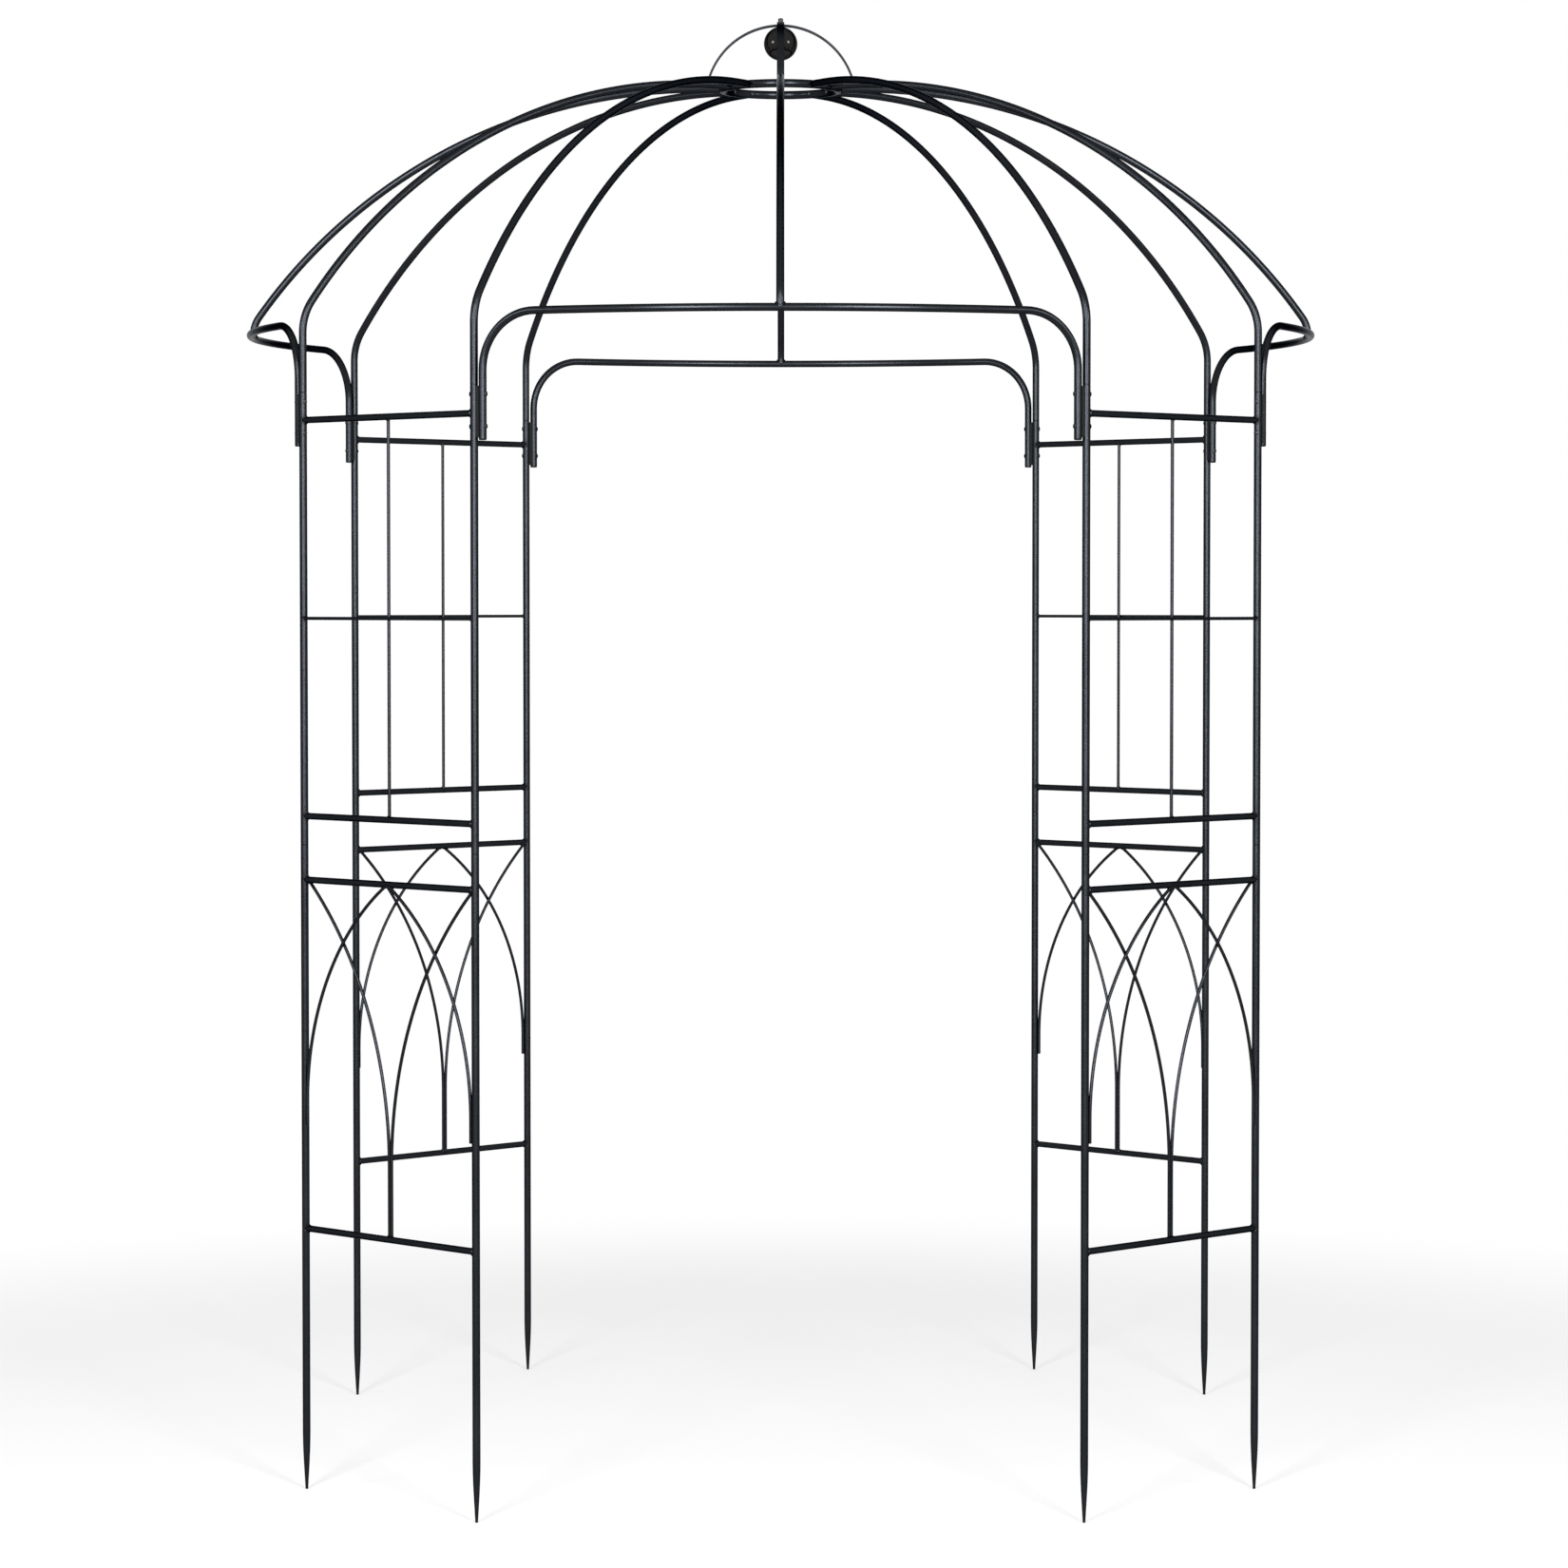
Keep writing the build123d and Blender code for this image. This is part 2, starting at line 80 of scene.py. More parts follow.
def grid_quads(rows, columns, closed=False):
    """Quads of a grid whose columns go round: (i, j), (i, j+1), (i+1, j+1), (i+1, j)."""
    i, j = np.meshgrid(np.arange(rows if closed else rows - 1), np.arange(columns), indexing="ij")
    below, beside = (i + 1) % rows, (j + 1) % columns
    corners = (i * columns + j, i * columns + beside, below * columns + beside, below * columns + j)
    return np.stack(corners, axis=-1).reshape(-1, 4)


def skin(grid, closed=False):
    """Surface of a grid (rows, columns, 3). Open ends get a fan of triangles to a middle point;
    a closed grid runs back into its first row."""
    rows, columns = grid.shape[:2]
    points = grid.reshape(-1, 3)
    quads = grid_quads(rows, columns, closed)
    if closed:
        return points, [quads]
    middles = np.stack([grid[0].mean(0), grid[-1].mean(0)])
    j = np.arange(columns)
    beside = (j + 1) % columns
    last = (rows - 1) * columns
    first_fan = np.stack([np.full(columns, rows * columns), beside, j], axis=-1)
    last_fan = np.stack([np.full(columns, rows * columns + 1), last + j, last + beside], axis=-1)
    return np.concatenate([points, middles]), [quads, first_fan, last_fan]


def join(surfaces):
    """Several surfaces as one, their point numbers moved on."""
    points, faces, start = [], [], 0
    for some_points, some_faces in surfaces:
        points.append(some_points)
        faces += [part + start for part in some_faces]
        start += len(some_points)
    return np.concatenate(points), faces


def moved(surface, turn=0.0, shift=(0, 0, 0)):
    """A surface shifted, then turned about the pavilion's upright axis."""
    a = np.radians(turn)
    spin = np.array([[np.cos(a), -np.sin(a), 0], [np.sin(a), np.cos(a), 0], [0, 0, 1]])
    return (surface[0] + np.asarray(shift)) @ spin.T, surface[1]


def mirrored(surface):
    """A surface mirrored left to right, its faces reversed so that they still point outwards."""
    return surface[0] * MIRROR, [part[:, ::-1] for part in surface[1]]


print("helpers: tubes have", TUBE_SIDES, "sides and wires", WIRE_SIDES)

# %% [markdown]
# ## From a grid to a piece
# A finished piece is a mesh at the origin that rides on the frame, stands for its CAD node and
# names the material slot it is painted from. Points could be added one by one, but whole arrays go
# in at once and are much faster. Edges that turn sharply are marked, so that round walls are shaded
# smooth and cut ends stay crisp.

# %% Make a piece
CRISP_ANGLE = 38
finishes = {}
box_steps = {}


def piece(name, surface, slot, *stands_for):
    """One mesh from a surface: points and faces go in as whole arrays."""
    points, faces = surface
    counts = np.concatenate([np.full(len(part), part.shape[1]) for part in faces])
    corners = np.concatenate([part.ravel() for part in faces])
    mesh = bpy.data.meshes.new(name)
    mesh.vertices.add(len(points))
    mesh.vertices.foreach_set("co", points.astype(np.float32).ravel())
    mesh.loops.add(len(corners))
    mesh.loops.foreach_set("vertex_index", corners.astype(np.int32))
    mesh.polygons.add(len(counts))
    mesh.polygons.foreach_set("loop_start", (np.cumsum(counts) - counts).astype(np.int32))
    mesh.update(calc_edges=True)
    mesh.shade_smooth()
    mesh.set_sharp_from_angle(angle=np.radians(CRISP_ANGLE))
    mesh.materials.append(finishes[slot])
    thing = bpy.data.objects.new(name, mesh)
    bpy.context.scene.collection.objects.link(thing)
    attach(thing, "root")
    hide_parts(*stands_for)
    corner_boxes = np.array([[list(corner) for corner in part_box(node)] for node in stands_for])
    low, high = corner_boxes[:, 0].min(0), corner_boxes[:, 1].max(0)
    box_steps[name] = max(np.abs(points.min(0) - low).max(), np.abs(points.max(0) - high).max())


def report(title):
    """Say how many pieces were made since the last report, and how far they step from their boxes."""
    print(title, len(box_steps), "pieces, largest step from the node's box", end=" ")
    print(round(1000 * max(box_steps.values()), 2), "mm")
    box_steps.clear()


print("pieces: edges that turn by more than", CRISP_ANGLE, "degrees stay crisp")

# %% [markdown]
# ## Finishes
# Four finishes cover the pavilion: the powder coat on all tube and wire, the high gloss of the
# ball, blackened steel on the fasteners, and moulded plastic on the plugs and strips. Powder coat
# cures with a fine orange-peel skin, never one flat black, and outdoor things gather a little dust
# where faces look up. Both effects are node groups, built once and set for each finish.
#
# A white room would turn the rim of every black tube grey, since gloss grows at glancing angles.
# The photo's tubes keep a dark rim, so the three black steel finishes use the metallic model: their
# colour is the gloss seen straight on, and the specular tint holds it down at the rim.

# %% Shared effects
def new_group(name, inputs, outputs):
    """An empty node group with named number inputs and outputs."""
    group = bpy.data.node_groups.new(name, "ShaderNodeTree")
    for title, value in inputs:
        socket = group.interface.new_socket(title, in_out="INPUT", socket_type="NodeSocketFloat")
        socket.default_value = value
    for title in outputs:
        group.interface.new_socket(title, in_out="OUTPUT", socket_type="NodeSocketFloat")
    return group, group.nodes.new("NodeGroupInput"), group.nodes.new("NodeGroupOutput")


def add_node(tree, kind, values=None, **settings):
    """A node with its settings, and the values of its unlinked sockets."""
    node = tree.nodes.new(kind)
    for key, value in settings.items():
        setattr(node, key, value)
    for key, value in (values or {}).items():
        node.inputs[key].default_value = value
    return node


def coat_skin_group():
    """Orange peel: small soft noise for the height, broad noise for the tone."""
    group, given, made = new_group("coat_skin", [("Grain", 900.0), ("Cloud", 9.0)], ["Height", "Tone"])
    place = add_node(group, "ShaderNodeTexCoord")
    grain = add_node(group, "ShaderNodeTexNoise", {"Detail": 2.0, "Roughness": 0.45})
    cloud = add_node(group, "ShaderNodeTexNoise", {"Detail": 4.0, "Roughness": 0.6})
    for node, source in ((grain, "Grain"), (cloud, "Cloud")):
        group.links.new(place.outputs["Object"], node.inputs["Vector"])
        group.links.new(given.outputs[source], node.inputs["Scale"])
    tone = add_node(group, "ShaderNodeMapRange", {"From Min": 0.3, "From Max": 0.7})
    group.links.new(cloud.outputs[0], tone.inputs["Value"])
    group.links.new(grain.outputs[0], made.inputs["Height"])
    group.links.new(tone.outputs["Result"], made.inputs["Tone"])
    return group


def settled_dust_group():
    """Dust: the upward part of the face's direction, broken up by noise."""
    group, given, made = new_group("settled_dust", [("Amount", 0.2), ("Patch", 35.0)], ["Mask"])
    place = add_node(group, "ShaderNodeTexCoord")
    patch = add_node(group, "ShaderNodeTexNoise", {"Detail": 5.0, "Roughness": 0.65})
    group.links.new(place.outputs["Object"], patch.inputs["Vector"])
    group.links.new(given.outputs["Patch"], patch.inputs["Scale"])
    facing = add_node(group, "ShaderNodeNewGeometry")
    upward = add_node(group, "ShaderNodeSeparateXYZ")
    group.links.new(facing.outputs["Normal"], upward.inputs["Vector"])
    rising = add_node(group, "ShaderNodeMapRange", {"From Min": 0.55, "From Max": 1.0})
    group.links.new(upward.outputs["Z"], rising.inputs["Value"])
    broken = add_node(group, "ShaderNodeMath", operation="MULTIPLY")
    group.links.new(rising.outputs["Result"], broken.inputs[0])
    group.links.new(patch.outputs[0], broken.inputs[1])
    amount = add_node(group, "ShaderNodeMath", operation="MULTIPLY")
    group.links.new(broken.outputs[0], amount.inputs[0])
    group.links.new(given.outputs["Amount"], amount.inputs[1])
    group.links.new(amount.outputs[0], made.inputs["Mask"])
    return group


coat_skin, settled_dust = coat_skin_group(), settled_dust_group()
print("effects:", coat_skin.name, settled_dust.name)

# %% Finishes made from the effects
DUST_COLOUR = (0.10, 0.095, 0.085, 1)
DARK_EDGE = (0.25, 0.26, 0.28, 1)      # how much gloss is left at glancing angles
BLACK_STEEL = {"Metallic": 1.0, "Specular Tint": DARK_EDGE}
GRAIN_DEPTH = 0.0004
MIX_FACTOR, MIX_FIRST, MIX_SECOND, MIX_COLOUR = 0, 6, 7, 2      # sockets of a mix of two colours


def finish(slot, dark, light, smooth, rough, bump, grain, dust, shader_values):
    """Principled shader: tone runs the colour from dark to light and the roughness from smooth to
    rough, dust greys the upper faces, and the grain drives the bump."""
    material = bpy.data.materials.new(slot)
    material.use_nodes = True
    tree = material.node_tree
    shader = tree.nodes["Principled BSDF"]
    for key, value in shader_values.items():
        shader.inputs[key].default_value = value
    skin_node = add_node(tree, "ShaderNodeGroup", node_tree=coat_skin)
    skin_node.inputs["Grain"].default_value = grain
    dust_node = add_node(tree, "ShaderNodeGroup", node_tree=settled_dust)
    dust_node.inputs["Amount"].default_value = dust
    tones = {MIX_FIRST: (*dark, 1), MIX_SECOND: (*light, 1)}
    colour = add_node(tree, "ShaderNodeMix", tones, data_type="RGBA")
    dusted = add_node(tree, "ShaderNodeMix", {MIX_SECOND: DUST_COLOUR}, data_type="RGBA")
    tree.links.new(skin_node.outputs["Tone"], colour.inputs[MIX_FACTOR])
    tree.links.new(dust_node.outputs["Mask"], dusted.inputs[MIX_FACTOR])
    tree.links.new(colour.outputs[MIX_COLOUR], dusted.inputs[MIX_FIRST])
    tree.links.new(dusted.outputs[MIX_COLOUR], shader.inputs["Base Color"])
    roughness = add_node(tree, "ShaderNodeMapRange", {"To Min": smooth, "To Max": rough})
    tree.links.new(skin_node.outputs["Tone"], roughness.inputs["Value"])
    tree.links.new(roughness.outputs["Result"], shader.inputs["Roughness"])
    relief = add_node(tree, "ShaderNodeBump", {"Strength": bump, "Distance": GRAIN_DEPTH})
    tree.links.new(skin_node.outputs["Height"], relief.inputs["Height"])
    tree.links.new(relief.outputs["Normal"], shader.inputs["Normal"])
    finishes[slot] = material


finish("powder_coat", dark=(0.0145, 0.016, 0.0185), light=(0.0195, 0.0215, 0.025),
       smooth=0.24, rough=0.29, bump=0.03, grain=900.0, dust=0.02, shader_values=BLACK_STEEL)
finish("gloss_ball", dark=(0.016, 0.0155, 0.015), light=(0.020, 0.019, 0.018),
       smooth=0.06, rough=0.09, bump=0.02, grain=220.0, dust=0.03,
       shader_values={**BLACK_STEEL, "Coat Weight": 0.12, "Coat Roughness": 0.04})
finish("fastener", dark=(0.026, 0.0265, 0.028), light=(0.034, 0.0345, 0.036),
       smooth=0.30, rough=0.42, bump=0.12, grain=1400.0, dust=0.05, shader_values=BLACK_STEEL)
finish("black_plastic", dark=(0.0028, 0.0028, 0.0030), light=(0.0045, 0.0045, 0.0047),
       smooth=0.46, rough=0.56, bump=0.30, grain=1600.0, dust=0.06,
       shader_values={"Specular IOR Level": 0.12})
print("finishes:", ", ".join(finishes))

# %% [markdown]
# ## The plan
# The posts stand on a circle, at the same angle to each side of the middle of an open side. Every
# piece could be placed by numbers of its own. Instead it is drawn once, for the front side or for
# one panel, and turned to the other three by quarter turns, so that the four sides are alike.

# %% Plan values
POST_CIRCLE = 1.010
POST_ANGLE = 31.7
TUBE = 0.007             # radius of posts, headers and ribs
BORE = 0.0058
EDGE = 0.0006            # rounding of a cut tube end
POST_JOINT = 1.170
POST_TOP = 1.985
OPEN_SIDES = (
    # side, its left and right post seen from outside, the panel on its right
    ("front", ("left", "right"), "front_right"),
    ("right", ("front", "back"), "back_right"),
    ("back", ("right", "left"), "back_left"),
    ("left", ("back", "front"), "front_left"),
)


def on_circle(radius, angle, height=0.0):
    """A point of the front side, at an angle from the middle of its opening."""
    a = np.radians(angle)
    return np.array([radius * np.sin(a), -radius * np.cos(a), height])


opening = 2 * POST_CIRCLE * np.sin(np.radians(POST_ANGLE))
print("posts", round(1000 * opening), "mm apart across an opening")

# %% [markdown]
# ## Posts
# A lower post is a tube drawn out to a spike at the foot and necked at the top. An upper post is
# pushed over the neck. Both are turned shapes: an outline of radius and height, carried once round
# the axis. A cylinder and a cone would leave a crease where the spike begins, but an outline eases
# into the tube. Rounded edges on both tube ends leave the fine dark line that shows where the post
# comes apart.

# %% Turned shapes
SPIKE_LENGTH = 0.110
SPIKE_TIP = 0.0025
SPIKE_EASE = 1.15        # a higher power keeps the spike slim for longer
SPIGOT = 0.00565
SPIGOT_LENGTH = 0.060
ROW_STEP = 0.045         # longest stretch of a straight wall


def turned(outline, sides=TUBE_SIDES, closed=False):
    """Outline (radius, height) carried round: (r cos a, r sin a, h)."""
    r, h = np.asarray(outline, float).T[:, :, None]
    a = round_angles(sides)
    return skin(points_at(r * np.cos(a), r * np.sin(a), h), closed)


def stretch(start, end):
    """Heights from start to end in equal steps, without the end."""
    steps = max(1, int(np.ceil(abs(end - start) / ROW_STEP)))
    return start + (end - start) * np.arange(steps) / steps


def spiked_post():
    """Blunt rounded tip, taper that eases into the tube by a quarter of a sine wave raised to a power,
    straight wall, and the neck on top."""
    turns = np.radians(np.linspace(-90, 0, 5)[1:])
    tip = [(SPIKE_TIP + EDGE * (np.cos(a) - 1), EDGE * (1 + np.sin(a))) for a in turns]
    rise = np.linspace(0.02, 1, 14)
    swell = np.sin(rise * np.pi / 2) ** SPIKE_EASE
    taper = list(zip(SPIKE_TIP + (TUBE - SPIKE_TIP) * swell, SPIKE_LENGTH * rise))
    wall = [(TUBE, h) for h in stretch(SPIKE_LENGTH, POST_JOINT - EDGE)[1:]]
    top = [(TUBE, POST_JOINT - EDGE), (TUBE - EDGE, POST_JOINT), (SPIGOT, POST_JOINT)]
    neck = [(SPIGOT, POST_JOINT + SPIGOT_LENGTH)]
    return turned(tip + taper + wall + top + neck)


def upper_post():
    """Plain tube with rounded ends, outer wall up and bore down."""
    outer = [(TUBE, h) for h in stretch(POST_JOINT + EDGE, POST_TOP - EDGE)]
    ends = [(TUBE, POST_TOP - EDGE), (TUBE - EDGE, POST_TOP), (BORE, POST_TOP)]
    inner = [(BORE, POST_JOINT), (TUBE - EDGE, POST_JOINT)]
    return turned(outer + ends + inner, closed=True)


post_kinds = {"lower_post": spiked_post(), "upper_post": upper_post()}
print("post surfaces:", {kind: len(surface[0]) for kind, surface in post_kinds.items()}, "points")

# %% Set up the posts
for quarter, (side, ends, _) in enumerate(OPEN_SIDES):
    for hand, end in zip((-1, 1), ends):
        foot = on_circle(POST_CIRCLE, hand * POST_ANGLE)
        for kind, surface in post_kinds.items():
            placed = moved(surface, 90 * quarter, foot)
            piece(f"dressed_{kind}_{side}_{end}", placed, "powder_coat", f"{kind}_{side}_{end}")
report("posts:")

# %% [markdown]
# ## Weld beads
# Rails and wires are welded to the posts, and under powder coat a weld shows as a soft rippled ring
# in the corner between two tubes. A bevel could round that corner on a single mesh, but rails and
# posts stay pieces of their own, so a bead is a small tube laid along the curve where their
# surfaces meet.

# %% Bead along a curve
RIPPLE = 0.13            # part of its radius that a bead swells and shrinks by
BLUNT = 0.02             # keeps the ends of an open bead from closing to a point


def bead(curve, radius, ripples=0, closed=True, sides=8):
    """Round section carried along a curve: curve + r (cos a across + sin a over), where across and
    over are square to the curve. On a closed curve r swells and shrinks a little for each ripple; on
    an open one it follows sqrt(1 - s^2), with s from -1 at one end to 1 at the other."""
    if closed:
        along = np.roll(curve, -1, axis=0) - np.roll(curve, 1, axis=0)
    else:
        along = np.gradient(curve, axis=0)
    along = unit(along)
    guide = curve - curve.mean(0)
    across = unit(guide - (guide * along).sum(1, keepdims=True) * along)
    over = np.cross(along, across)
    t = np.arange(len(curve)) / len(curve)
    size = radius * (1 + RIPPLE * np.cos(2 * np.pi * ripples * t))
    if not closed:
        s = 2 * t / t[-1] - 1
        size = radius * np.sqrt(np.clip(1 + BLUNT - s**2, BLUNT, 1))
    a = round_angles(sides)
    ring = across[:, None] * np.cos(a)[None, :, None] + over[:, None] * np.sin(a)[None, :, None]
    return skin(curve[:, None] + size[:, None, None] * ring, closed)


def hollow(offset, radius):
    """How far a round bar's surface stands from its axis at a sideways offset:
    sqrt(r^2 - offset^2)."""
    return np.sqrt(np.maximum(radius**2 - offset**2, 0))


print("beads: ripples of", RIPPLE, "of their radius")

# %% [markdown]
# ## Trellis panels
# A panel is drawn flat, X along it and the outside at -Y, then set on its chord and turned. Each
# rail is a tube whose ends are hollowed to the posts: at a sideways offset y the end stands back
# from the post's axis by the height of the circle there. The wires end on rails and posts by the
# same rule. They could just run into the tubes, but hollowed ends only touch, and no piece cuts
# into another.

# %% Rails
PANEL_ANGLE = 45 - POST_ANGLE
PANEL_HALF = POST_CIRCLE * np.sin(np.radians(PANEL_ANGLE))
PANEL_MIDDLE = POST_CIRCLE * np.cos(np.radians(PANEL_ANGLE))
RAIL = 0.006
BOTTOM_RAIL = 0.475
LOWER_MID_RAIL = 1.107
UPPER_MID_RAIL = 1.222
TOP_RAIL = 1.935
RAIL_WELD = 0.0017       # radius of a bead on tube
RAIL_SEAT = RAIL_WELD / 3      # how far the bead's middle stands off the tubes


def rail(height):
    """Tube between the posts: x = s (half width - hollow(y)), s from -1 to 1, with a bead at each
    end."""
    a = round_angles(TUBE_SIDES)
    y, z = RAIL * np.cos(a), height + RAIL * np.sin(a)
    s = np.linspace(-1, 1, 11)[:, None]
    tube = points_at(s * (PANEL_HALF - hollow(y, TUBE)), y, z)
    a, reach = round_angles(60), RAIL + RAIL_SEAT
    y, z = reach * np.cos(a), height + reach * np.sin(a)
    seam = points_at(PANEL_HALF - hollow(y, TUBE + RAIL_SEAT), y, z)
    weld = bead(seam, RAIL_WELD, ripples=15)
    return join([skin(tube), weld, mirrored(weld)])


def on_panel(surface, quarter):
    """Set a panel's piece on its chord, on the right of an open side."""
    return moved(surface, 90 * quarter + 45, (0, -PANEL_MIDDLE, 0))


rail_heights = (BOTTOM_RAIL, LOWER_MID_RAIL, UPPER_MID_RAIL, TOP_RAIL)
panel_rails = join([rail(height) for height in rail_heights])
for quarter, (_, _, panel) in enumerate(OPEN_SIDES):
    piece(f"welded_rails_{panel}", on_panel(panel_rails, quarter), "powder_coat", f"rails_{panel}")
report("rails:")

# %% Upper trellis wires
WIRE = 0.003
LAYER = 0.00305          # wires that cross lie this far in front of or behind the panel's plane
CROSS_WIRE = (UPPER_MID_RAIL + TOP_RAIL) / 2
WIRE_WELD = 0.0011       # radius of a bead on wire
WIRE_SEAT = WIRE_WELD / 4


def wire_ring(layer, extra=0.0, count=WIRE_SIDES):
    """Offsets of a wire's surface in the panel: sideways and in depth, with the wire's layer added."""
    a = round_angles(count)
    return (WIRE + extra) * np.cos(a), layer + (WIRE + extra) * np.sin(a)


def weld_ring(layer):
    """The same offsets for the bead at a wire's end, which lies a little outside the wire."""
    return wire_ring(layer, WIRE_SEAT, 32)


def wire_weld(x, y, z):
    """Small bead along the curve where a wire ends."""
    return bead(points_at(x, y, z), WIRE_WELD, ripples=8, sides=6)


def upright_wire():
    """Straight up from rail to rail: both ends hollowed to the rails."""
    def ends(y, clear):
        """Heights of both ends at a depth y: the rails' axes, less or plus hollow(y)."""
        return UPPER_MID_RAIL + hollow(y, RAIL + clear), TOP_RAIL - hollow(y, RAIL + clear)

    x, y = wire_ring(LAYER)
    low, high = ends(y, 0)
    s = np.linspace(0, 1, 17)[:, None]
    wire = skin(points_at(x, y, low + s * (high - low)))
    x, y = weld_ring(LAYER)
    return join([wire] + [wire_weld(x, y, height) for height in ends(y, WIRE_SEAT)])


def cross_wire():
    """Level from post to post, drawn with x along it and the ends hollowed to the posts."""
    z, y = wire_ring(-LAYER)
    s = np.linspace(-1, 1, 13)[:, None]
    wire = skin(points_at(s * (PANEL_HALF - hollow(y, TUBE)), y, CROSS_WIRE - z))
    z, y = weld_ring(-LAYER)
    weld = wire_weld(PANEL_HALF - hollow(y, TUBE + WIRE_SEAT), y, CROSS_WIRE + z)
    return join([wire, weld, mirrored(weld)])


lattice = join([upright_wire(), cross_wire()])
print("lattice:", len(lattice[0]), "points, cross wire at", round(CROSS_WIRE, 4), "m")

# %% Outer arch wires
ARCH_SPRING = BOTTOM_RAIL + 0.230
ARCH_TAIL = 0.040
WIRE_GAP = 0.0001
WIRE_END = 0.72          # size of a wire's rounded end, as a part of the wire
TACK = 1.3 * WIRE_WELD   # weld that holds the tail to the post
TACK_SPAN = (-0.9, -0.25)      # its ends, in tail lengths from the spring
TACK_SIDE = 0.62 * WIRE
ARC_ROWS = 40


def arch_wire():
    """Right outer wire. A straight tail lies along the post, then an arc about
    (reach - radius, spring) leans in to the middle of the rail: x = middle + (radius + r cos a) cos t,
    z = spring + (radius + r cos a) sin t. Each side of the wire runs up to the angle where it meets
    the rail."""
    rise = LOWER_MID_RAIL - ARCH_SPRING
    reach = PANEL_HALF - hollow(LAYER, TUBE + WIRE + WIRE_GAP)
    radius = (reach**2 + rise**2) / (2 * reach)

    def bend(x, y, clear):
        """Arc of each side of the wire, up to the angle at which its height meets the rail."""
        end = np.arcsin((rise - hollow(y, RAIL + clear)) / (radius + x))
        t = np.linspace(0, 1, ARC_ROWS)[:, None] * end
        return reach - radius + (radius + x) * np.cos(t), ARCH_SPRING + (radius + x) * np.sin(t)

    x, y = wire_ring(-LAYER)
    across, up = bend(x, y, 0)
    tail_up = np.array([[-ARCH_TAIL], [-ARCH_TAIL / 2]]) + ARCH_SPRING + 0 * x
    tail_across = reach + x + 0 * tail_up
    rounded = reach + WIRE_END * x
    across = np.concatenate([rounded[None], tail_across, across])
    up = np.concatenate([tail_up[:1] - WIRE / 3, tail_up, up])
    depth = np.broadcast_to(y, across.shape).copy()
    depth[0] = -LAYER + WIRE_END * (y + LAYER)
    wire = skin(points_at(across, depth, up))
    x, y = weld_ring(-LAYER)
    across, up = bend(x, y, WIRE_SEAT)
    weld = wire_weld(across[-1], y, up[-1])
    height = np.linspace(*TACK_SPAN, 12) * ARCH_TAIL + ARCH_SPRING
    side = (TUBE + WIRE_GAP) / (TUBE + WIRE)
    seam = points_at(PANEL_HALF - (PANEL_HALF - reach) * side, -LAYER * side - TACK_SIDE, height)
    return join([wire, weld, bead(seam, TACK, closed=False)])


right_arch = arch_wire()
print("arch wire:", len(right_arch[0]), "points, springs at", round(ARCH_SPRING, 3), "m")

# %% Inner lancet wires
LANCET_SPRING = BOTTOM_RAIL + 0.130


def lancet_wire():
    """Right inner wire. It stands on the bottom rail beside the middle, then an arc about
    (layer + radius, spring) leans out to the corner of rail and post, and ends at whichever comes
    first."""
    rise = LOWER_MID_RAIL - LANCET_SPRING
    reach = PANEL_HALF - TUBE - LAYER
    radius = (reach**2 + rise**2) / (2 * reach)
    middle = LAYER + radius

    def bend(x, y, clear):
        """Arc of each side of the wire, up to the angle at which it meets the rail or the post."""
        to_rail = (rise - hollow(y, RAIL + clear)) / (radius - x)
        to_post = (middle - PANEL_HALF + hollow(y, TUBE + clear)) / (radius - x)
        end = np.minimum(np.arcsin(to_rail), np.arccos(to_post))
        t = np.linspace(0, 1, ARC_ROWS)[:, None] * end
        return middle - (radius - x) * np.cos(t), LANCET_SPRING + (radius - x) * np.sin(t)

    x, y = wire_ring(LAYER)
    foot = BOTTOM_RAIL + hollow(y, RAIL)
    s = np.linspace(0, 1, 5)[:-1, None]
    across, up = bend(x, y, 0)
    across = np.concatenate([LAYER + x + 0 * s, across])
    up = np.concatenate([foot + s * (LANCET_SPRING - foot), up])
    wire = skin(points_at(across, y, up))
    x, y = weld_ring(LAYER)
    across, up = bend(x, y, WIRE_SEAT)
    top_weld = wire_weld(across[-1], y, up[-1])
    foot_weld = wire_weld(LAYER + x, y, BOTTOM_RAIL + hollow(y, RAIL + WIRE_SEAT))
    return join([wire, top_weld, foot_weld])


right_wires = join([right_arch, lancet_wire()])
gothic = join([right_wires, mirrored(right_wires)])
print("gothic wires:", len(gothic[0]), "points in a panel")

# %% Set up the wires
wire_kinds = (("lattice", lattice, "lattice_wires"), ("gothic", gothic, "arch_wires"))
for quarter, (_, _, panel) in enumerate(OPEN_SIDES):
    for title, surface, node in wire_kinds:
        piece(f"{title}_{panel}", on_panel(surface, quarter), "powder_coat", f"{node}_{panel}")
report("wires:")

# %% [markdown]
# ## Headers
# A header is one tube bent in space: a leg beside each post, a quarter bend in an upright plane,
# and a crosspiece bowed to the post circle. Its line is worked out for one half and mirrored. A
# bevelled curve can twist where it leaves one plane for another. Here each section keeps one
# direction pointing away from the pavilion's axis, so the circle is carried along without twist.

# %% Header line and tube
LEG_SPACING = 0.018
HEADER = 2.110
CORNER = 0.100
BOLT_HEIGHTS = (1.968, 1.912)
LEG_BELOW_BOLT = 0.022
LEG_END = BOLT_HEIGHTS[1] - LEG_BELOW_BOLT
LEG_ANGLE = POST_ANGLE - np.degrees(2 * np.arcsin(LEG_SPACING / (2 * POST_CIRCLE)))
BOW = np.sqrt(POST_CIRCLE**2 - CORNER**2)
BOW_ANGLE = LEG_ANGLE - np.degrees(np.arctan(CORNER / BOW))


